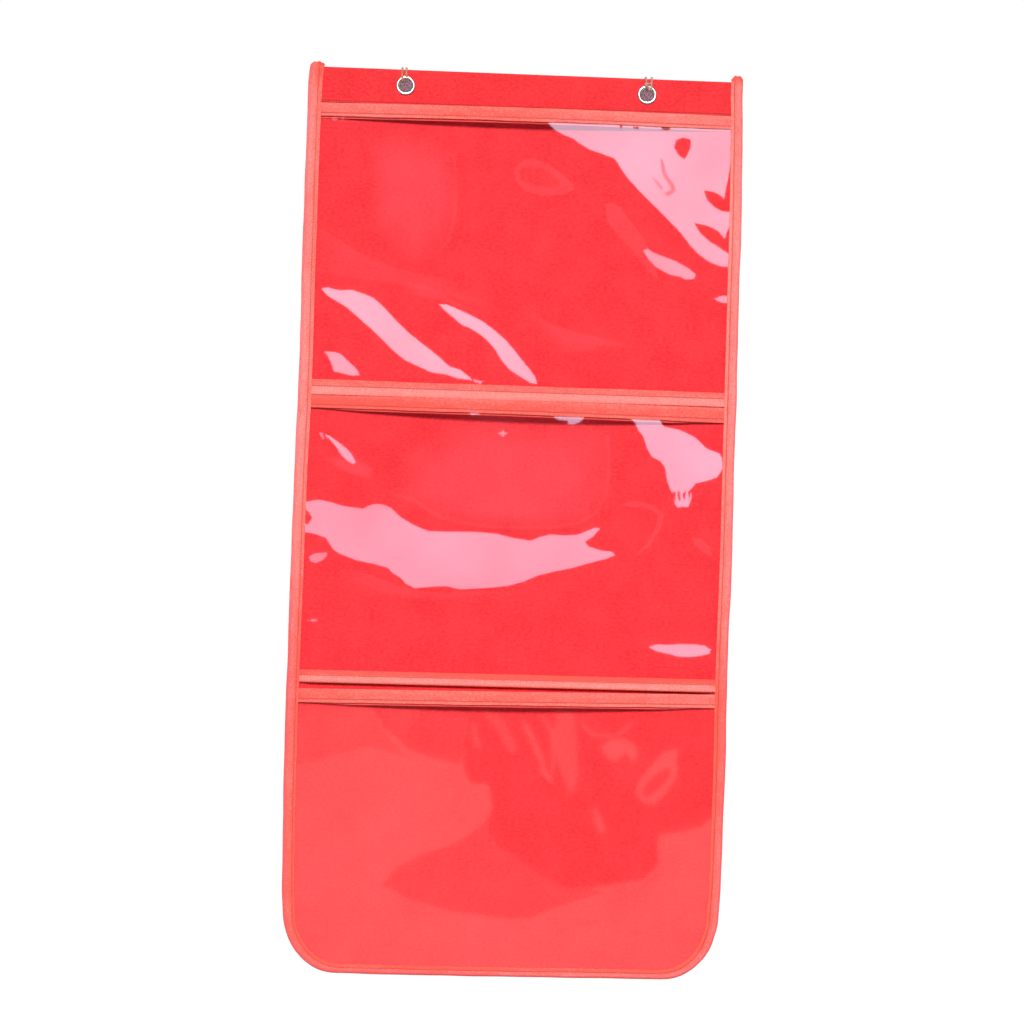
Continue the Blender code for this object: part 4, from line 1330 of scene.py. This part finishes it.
def make_camera():
    """The photograph's view: almost straight on, a little from the left, the pouch leaning clockwise."""
    level = math.cos(CAMERA_PITCH)
    forward = Vector((math.sin(CAMERA_YAW) * level, math.cos(CAMERA_YAW) * level, math.sin(CAMERA_PITCH)))
    right = forward.cross(Vector((0, 0, 1))).normalized()
    up = right.cross(forward)
    rolled_right = right * math.cos(CAMERA_ROLL) + up * math.sin(CAMERA_ROLL)
    rolled_up = up * math.cos(CAMERA_ROLL) - right * math.sin(CAMERA_ROLL)
    data = bpy.data.cameras.new("Camera")
    data.lens = CAMERA_LENS
    data.sensor_width = 36.0
    data.clip_end = 50.0
    camera = bpy.data.objects.new("Camera", data)
    turn = Matrix((rolled_right, rolled_up, -forward)).transposed().to_4x4()
    camera.matrix_world = Matrix.Translation(CAMERA_PLACE) @ turn
    bpy.context.scene.collection.objects.link(camera)
    bpy.context.scene.camera = camera


def light_only(lamp, pieces):
    """Keeps a lamp's light to the given pieces."""
    group = bpy.data.collections.new(lamp.name + " receivers")
    for piece in pieces:
        group.objects.link(piece)
    lamp.light_linking.receiver_collection = group


def new_lamp(data, direction, up):
    """A lamp whose light travels along direction."""
    lamp = bpy.data.objects.new(data.name, data)
    lamp.rotation_mode = "QUATERNION"
    lamp.rotation_quaternion = Vector(direction).normalized().to_track_quat("-Z", up)
    bpy.context.scene.collection.objects.link(lamp)
    return lamp


def add_sun(name, direction, strength, angle):
    """A sun lamp, its angle in degrees."""
    data = bpy.data.lights.new(name, "SUN")
    data.energy = strength
    data.angle = math.radians(angle)
    return new_lamp(data, direction, "Y")


def make_world():
    """An even, dim studio round the pouch. The camera sees it white, and so does what mirrors the side behind."""
    world = bpy.data.worlds.new("Studio")
    bpy.context.scene.world = world
    nodes = Nodes(world, "ShaderNodeOutputWorld")
    rays = nodes.node("ShaderNodeLightPath", out="Is Camera Ray")
    behind = nodes.axes(nodes.node("ShaderNodeTexCoord", out="Generated"))[1].between(-0.05, 0.25)
    mirrored = rays.other("Is Glossy Ray").most(rays.other("Is Transmission Ray"))
    studio = nodes.mix(mirrored, (0.12, 0.12, 0.12, 1.0), (0.03, 0.005, 0.024, 1.0))
    seen = nodes.mix(rays.most(mirrored * behind), studio, WHITE)
    nodes.end(nodes.node("ShaderNodeBackground", sockets={"Color": seen}))


def add_card(name, centre, width, height, radiance, pieces):
    """A soft light board for the named pieces only."""
    data = bpy.data.lights.new(name, "AREA")
    data.shape = "RECTANGLE"
    data.size = width
    data.size_y = height
    data.energy = radiance * width * height * math.pi
    lamp = new_lamp(data, (0, 1, 0), "Z")
    lamp.location = centre
    lamp.visible_camera = False
    light_only(lamp, pieces)


def add_boards(film, tint, shapes, veils):
    """Bright boards in front that only one clear front mirrors. Each hides part of those listed before it.

    Veils hide nothing: each adds to what is behind, less and less towards its outline.
    """
    finish = Finish("Boards " + film.name)
    unevenness = 0.7 + finish.noise(finish.place(), 6.0, 3.0, 0.5) * 0.6
    colour = finish.mix(finish.mark("glow") * unevenness, (0.0, 0.0, 0.0, 1.0), (*tint, 1.0))
    glow = finish.glow(colour, BOARD_STRENGTH)
    clear = finish.node("ShaderNodeBsdfTransparent")
    thin = finish.node("ShaderNodeAddShader", sockets={0: clear, 1: glow})
    finish.blend(finish.mark("thin"), glow, thin)
    finish.material.cycles.emission_sampling = "NONE"
    bm = bmesh.new()
    glow_layer = bm.verts.layers.float.new("glow")
    thin_layer = bm.verts.layers.float.new("thin")

    def corners(outline, tone, depth, thin_share):
        made = [bm.verts.new((x / 1000, BOARD_Y + 0.0003 * depth, z / 1000)) for x, z in outline]
        for corner in made:
            corner[glow_layer] = tone / BOARD_STRENGTH
            corner[thin_layer] = thin_share
        return made

    for index, (tone, outline) in enumerate(shapes):
        bm.faces.new(corners(outline, tone, index, 0.0))
    for index, (tone, outline) in enumerate(veils):
        centre = [sum(values) / len(outline) for values in zip(*outline)]
        rings = []
        for size, share in ((0.6, 1.0), (1.15, 0.0)):
            spots = [[middle + (value - middle) * size for value, middle in zip(spot, centre)] for spot in outline]
            rings.append(corners(spots, tone * share, len(shapes) + index, 1.0))
        inner, outer = rings
        bm.faces.new(inner)
        for index, following in enumerate(range(1 - len(inner), 1)):
            bm.faces.new((inner[index], inner[following], outer[following], outer[index]))
    boards = new_object("boards_" + film.name, bm, finish.material)
    for rays in ("camera", "diffuse", "transmission", "volume_scatter", "shadow"):
        setattr(boards, "visible_" + rays, False)
    light_only(boards, [film])


# Tone and outline, across and up in millimetres, of each board, by the clear front that mirrors it
BOARDS = {
    "upper": (
        (0.06, ((-6, 407), (3, 397), (9, 330), (9, 279), (-3, 237), (-28, 210), (-9, 242), (1, 283), (2, 330),
         (2, 371))),
        (0.15, ((110, 380), (128, 395), (146, 399), (172, 390), (196, 375), (222, 353), (222, 344), (200, 334),
         (163, 331), (132, 338), (114, 357))),
        (0.05, ((118, 375), (141, 385), (167, 379), (186, 367), (199, 352), (184, 346), (147, 348), (124, 357))),
        (0.14, ((280, 320), (293, 325), (311, 313), (328, 291), (352, 261), (375, 225), (383, 184), (364, 199),
         (337, 234), (305, 264), (286, 289))),
        (0.7, ((-226, 461), (-223, 463), (-217, 462), (-214, 459), (-217, 457), (-222, 456), (-226, 458))),
        (0.51, ((-207, 464), (-204, 464), (-203, 460), (-205, 456), (-208, 457))),
        (2.41, ((171, 486), (172, 463), (183, 453), (199, 444), (218, 438), (227, 431), (248, 419), (275, 411),
         (295, 404), (301, 397), (307, 387), (320, 370), (341, 348), (363, 328), (387, 306), (408, 286), (425, 269),
         (441, 249), (457, 234), (475, 222), (497, 214), (530, 213), (522, 501))),
        (0.0, ((446, 292), (471, 288), (492, 278), (503, 265), (511, 288), (528, 299), (530, 231), (512, 237),
         (498, 246), (477, 258), (458, 273))),
        (0.0, ((462, 353), (479, 351), (495, 344), (500, 338), (503, 359), (507, 381), (509, 401), (524, 418),
         (527, 312), (496, 316), (483, 322), (469, 335))),
        (0.0, ((408, 443), (421, 449), (435, 445), (435, 429), (425, 408), (413, 415), (404, 430))),
        (0.0, ((377, 479), (397, 480), (396, 462), (387, 460), (380, 462))),
        (0.0, ((302, 467), (308, 467), (307, 460), (303, 462))),
        (0.0, ((327, 465), (339, 464), (336, 460), (329, 461))),
        (1.15, ((379, 408), (384, 406), (388, 393), (392, 378), (406, 362), (410, 350), (397, 339), (386, 344),
         (394, 347), (402, 352), (397, 361), (386, 375), (381, 391))),
        (1.41, ((363, 374), (375, 367), (386, 354), (382, 351), (371, 364))),
        (2.11, ((353, 237), (361, 241), (375, 232), (395, 226), (416, 219), (437, 208), (452, 197), (448, 188),
         (432, 187), (425, 191), (414, 193), (401, 196), (390, 201), (375, 210), (363, 222))),
        (2.18, ((486, 153), (501, 159), (516, 160), (517, 146), (501, 147))),
        (2.59, ((-234, 146), (-224, 149), (-201, 144), (-180, 146), (-159, 140), (-138, 132), (-118, 115), (-96, 92),
         (-70, 69), (-43, 49), (-17, 30), (4, 12), (25, 6), (41, -6), (47, -12), (20, -9), (-1, -3), (-29, 0),
         (-52, 10), (-78, 21), (-100, 38), (-121, 58), (-142, 77), (-163, 94), (-184, 112), (-205, 124),
         (-223, 134))),
        (1.79, ((49, -8), (54, -12), (67, -13), (63, -18), (51, -15))),
        (2.46, ((-18, 124), (-5, 125), (16, 117), (37, 108), (63, 96), (84, 81), (103, 66), (120, 48), (138, 27),
         (151, 12), (162, -2), (166, -15), (154, -13), (136, -3), (115, 10), (99, 27), (88, 45), (72, 62), (56, 74),
         (38, 84), (25, 89), (17, 94), (6, 104), (-7, 114))),
        (2.18, ((-225, 31), (-207, 31), (-194, 27), (-180, 14), (-163, -1), (-159, -10), (-175, -11), (-193, -7),
         (-207, -4), (-210, 6), (-217, 21))),
    ),
    "middle": (
        (0.09, ((-95, -223), (-53, -231), (-26, -249), (1, -262), (48, -273), (111, -278), (195, -274), (248, -265),
         (279, -246), (296, -215), (299, -162), (295, -104), (302, -109), (305, -167), (301, -217), (283, -250),
         (250, -270), (196, -280), (112, -283), (43, -278), (-4, -268), (-47, -243))),
        (0.15, ((326, -232), (352, -223), (385, -229), (408, -245), (401, -274), (381, -307), (350, -330),
         (376, -301), (393, -269), (395, -246), (368, -233), (347, -235))),
        (0.15, ((458, -287), (476, -288), (494, -303), (498, -321), (482, -314), (466, -301))),
        (2.07, ((-262, -244), (-247, -244), (-226, -240), (-204, -244), (-178, -251), (-146, -254), (-126, -245),
         (-110, -245), (-94, -251), (-75, -268), (-51, -281), (-25, -291), (17, -291), (59, -290), (101, -292),
         (133, -299), (162, -303), (180, -295), (201, -290), (227, -291), (248, -289), (267, -281), (280, -275),
         (290, -276), (276, -292), (262, -301), (270, -310), (292, -316), (313, -318), (319, -324), (303, -331),
         (271, -340), (240, -350), (209, -357), (177, -366), (152, -378), (125, -386), (89, -391), (42, -395),
         (26, -394), (13, -390), (-11, -392), (-45, -396), (-61, -389), (-72, -378), (-88, -369), (-96, -360),
         (-122, -354), (-154, -348), (-180, -339), (-196, -331), (-210, -310), (-229, -303), (-260, -298))),
        (0.06, ((-262, -259), (-245, -261), (-237, -273), (-244, -285), (-261, -286))),
        (2.5, ((338, -55), (341, -74), (350, -83), (354, -94), (363, -103), (370, -123), (380, -141), (397, -149),
         (406, -161), (409, -179), (416, -199), (423, -209), (426, -226), (432, -233), (440, -231), (451, -231),
         (457, -213), (453, -200), (464, -187), (484, -182), (502, -175), (512, -160), (511, -140), (506, -131),
         (482, -123), (460, -103), (433, -91), (401, -85), (392, -72), (391, -53))),
        (0.0, ((421, -204), (427, -204), (426, -222))),
        (0.0, ((430, -204), (434, -200), (436, -220), (433, -222))),
        (0.0, ((440, -207), (446, -200), (444, -217), (442, -219))),
        (0.0, ((449, -203), (454, -200), (452, -220))),
        (2.18, ((-220, -121), (-211, -122), (-198, -131), (-180, -144), (-169, -155), (-161, -169), (-164, -173),
         (-175, -168), (-187, -158), (-197, -143), (-209, -130))),
        (1.54, ((-230, -117), (-224, -118), (-219, -129), (-223, -128))),
        (2.43, ((386, -490), (400, -485), (424, -485), (445, -483), (472, -483), (488, -484), (500, -491),
         (498, -499), (483, -503), (462, -506), (441, -506), (422, -501), (403, -498))),
        (1.41, ((-240, -345), (-230, -338), (-208, -336), (-208, -342), (-217, -351), (-229, -356), (-238, -353))),
        (1.28, ((-238, -460), (-229, -458), (-219, -460), (-229, -463))),
        (1.66, ((39, -66), (63, -65), (61, -75), (50, -77), (42, -73))),
        (2.18, ((198, -66), (244, -64), (253, -74), (247, -82), (234, -88), (223, -86), (224, -81), (207, -80),
         (199, -76))),
        (1.54, ((96, -109), (103, -106), (106, -102), (108, -106), (115, -108), (108, -111), (106, -116),
         (103, -111))),
    ),
    "lower": (
        (0.27, ((-273, -615), (-168, -617), (-59, -622), (70, -622), (252, -619), (414, -612), (533, -601),
         (548, -1101), (-256, -1123))),
        (0.17, ((-273, -615), (-168, -617), (-112, -619), (-100, -654), (-45, -706), (-121, -687), (-200, -711),
         (-269, -729))),
        (0.08, ((-112, -619), (70, -622), (65, -643), (46, -713), (-2, -704), (-46, -690), (-95, -648))),
        (0.02, ((59, -622), (252, -619), (414, -612), (533, -601), (538, -780), (504, -805), (491, -816), (464, -824),
         (416, -832), (413, -853), (415, -888), (391, -913), (343, -923), (295, -932), (252, -934), (208, -918),
         (186, -903), (164, -887), (148, -874), (121, -861), (107, -840), (102, -813), (108, -792), (102, -750),
         (66, -746), (53, -716), (53, -676), (61, -638))),
        (0.11, ((102, -813), (107, -840), (121, -861), (148, -874), (164, -887), (186, -903), (208, -918),
         (252, -934), (295, -934), (317, -941), (269, -956), (226, -972), (184, -991), (146, -993), (50, -984),
         (-31, -963), (-88, -938), (-60, -904), (-18, -881), (45, -858), (87, -827))),
        (0.24, ((-265, -846), (-239, -851), (-205, -871), (-178, -885), (-151, -907), (-118, -919), (-70, -923),
         (-118, -923), (-153, -911), (-181, -889), (-208, -875), (-265, -857))),
        (0.21, ((270, -992), (307, -992), (310, -998), (286, -1003), (267, -1000))),
        (0.21, ((358, -1011), (397, -1008), (401, -1014), (368, -1019))),
        (0.24, ((338, -937), (424, -938), (500, -937), (424, -941), (343, -941))),
        (0.2, ((65, -638), (73, -639), (77, -659), (85, -680), (76, -685), (69, -664))),
        (0.15, ((86, -611), (124, -631), (147, -673), (147, -694), (131, -684), (114, -653))),
        (0.18, ((220, -612), (252, -615), (260, -670), (262, -729), (255, -762), (244, -753), (233, -729),
         (220, -692), (216, -650))),
        (0.23, ((153, -625), (168, -636), (182, -661), (195, -688), (204, -715), (217, -735), (220, -746),
         (206, -739), (193, -723), (190, -704), (178, -677), (164, -651))),
        (0.2, ((186, -617), (201, -626), (215, -644), (221, -682), (218, -730), (212, -725), (213, -682), (208, -650),
         (196, -631))),
        (0.25, ((301, -675), (324, -660), (351, -659), (367, -671), (371, -689), (361, -703), (351, -685),
         (341, -692), (330, -702), (314, -693))),
        (0.25, ((444, -674), (416, -683), (396, -708), (373, -736), (368, -758), (386, -777), (407, -776),
         (425, -756), (444, -729), (445, -709))),
        (0.05, ((429, -709), (409, -719), (389, -740), (382, -756), (392, -764), (411, -751), (428, -729),
         (436, -714))),
        (0.25, ((293, -785), (303, -795), (312, -813), (317, -827), (305, -833), (297, -813))),
        (0.2, ((264, -622), (276, -640), (296, -652), (323, -652), (339, -643), (356, -629), (363, -630), (342, -651),
         (318, -658), (289, -658), (269, -644))),
        (0.22, ((373, -920), (401, -910), (422, -890), (429, -892), (419, -916), (391, -923))),
        (0.12, ((-102, -617), (-27, -617), (-29, -636), (-57, -663), (-95, -654))),
    ),
}

# Tone and outline of each veil, in the same way
VEILS = {
    "upper": (
        (0.15, ((-153, 418), (-105, 440), (-6, 407), (7, 330), (6, 284), (-11, 232), (-69, 209), (-138, 253),
         (-148, 340))),
        (0.09, ((-246, 260), (-193, 226), (-105, 192), (-6, 170), (62, 131), (47, 126), (-26, 144), (-119, 161),
         (-181, 164), (-243, 178))),
        (0.12, ((150, 114), (192, 95), (244, 81), (296, 73), (338, 59), (286, 57), (225, 42), (193, 64))),
        (0.08, ((-94, 167), (-42, 159), (16, 130), (57, 111), (-15, 131), (-57, 137))),
    ),
    "middle": (
        (0.17, ((58, -81), (295, -94), (302, -162), (295, -215), (274, -250), (237, -267), (195, -275), (90, -278),
         (38, -273), (-5, -261), (-42, -242), (-79, -227), (-60, -158))),
        (0.15, ((-218, -163), (-160, -161), (-128, -181), (-132, -200), (-161, -194), (-196, -181))),
        (0.09, ((-179, -361), (-100, -390), (-21, -404), (53, -406), (147, -396), (64, -417), (-36, -417),
         (-115, -407), (-168, -382))),
    ),
}


def build():
    """Every soft or finished piece in place of its solid, what each is made of, and then the stage round them."""
    cloth_finish = red_cloth()
    tape_finish = woven_tape()
    thread_finish = sewing_thread()
    film_finish = clear_film("Clear film", 0.012)
    limp_film_finish = clear_film("Limp clear film", 0.025)
    metal_finish = plated_metal()
    twine_finish = twine_fibre()

    stations = binding_stations()
    cloth = make_cloth(cloth_finish)
    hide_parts("back_panel")
    binding = make_binding(tape_finish, stations)
    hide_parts("edge_binding")
    pieces = {"red_cloth": [cloth], "salmon_tape": [binding], "clear_sheet": [], "nickel": [], "tan_twine": []}
    for kind, pockets, first_seed in (("mouth", POCKETS, 1), ("foot", POCKETS[:2], 7)):
        for seed, pocket in enumerate(pockets, first_seed):
            tape = make_tape(tape_finish, pocket, kind, seed)
            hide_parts(kind + "_tape_" + pocket.name)
            pieces["salmon_tape"].append(tape)
    stitches = make_stitches(thread_finish, stations)
    films = {}
    for pocket in POCKETS:
        finish = limp_film_finish if pocket.name == "lower" else film_finish
        film = make_film(finish, pocket)
        film.visible_shadow = False
        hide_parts("pocket_front_" + pocket.name)
        films[pocket.name] = film
        pieces["clear_sheet"].append(film)
    for side, sign in (("left", -1), ("right", 1)):
        centre = Vector((sign * EYELET_SPACING / 2, 0, 0))
        pieces["nickel"] += make_eyelet(side, metal_finish, centre)
        tie, knot, line = make_tie(side, twine_finish, centre)
        pieces["tan_twine"] += [tie, knot]

    stiffener_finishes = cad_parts["header_stiffener"].data.materials
    stiffener_finishes.clear()
    stiffener_finishes.append(white_plastic())

    for slot, objects in pieces.items():
        for obj in objects:
            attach(obj, "root")
    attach(stitches, "root")

    set_stage(films, binding, pieces["nickel"])


def set_stage(films, binding, nickel):
    """Floor, studio, lamps and boards, and the camera."""
    make_floor()
    make_world()
    add_sun("Key", (0.04, 1.0, -0.50), 3.5, 16.0)
    add_sun("Back light", (-0.2, -0.9, -0.25), 1.6, 25.0)
    for name, direction in (("left", (1.0, 0.3, -0.2)), ("right", (-1.0, 0.3, -0.2)), ("low", (0.0, 0.3, 1.0))):
        light_only(add_sun("Rim fill " + name, direction, 0.6, 20.0), [binding])
    # Glowing discs behind the bores: painted shade seen through them
    for side in (-1, 1):
        make_bore_painted_shade(side)
    for name, shapes in BOARDS.items():
        add_boards(films[name], BOARD_TINTS[name], shapes, VEILS.get(name, ()))
    add_card("Metal card", (0.0, -3.6, 0.9), 3.6, 3.0, 1.25, nickel)
    make_camera()


build()

bpy.context.scene.view_settings.view_transform = "Standard"
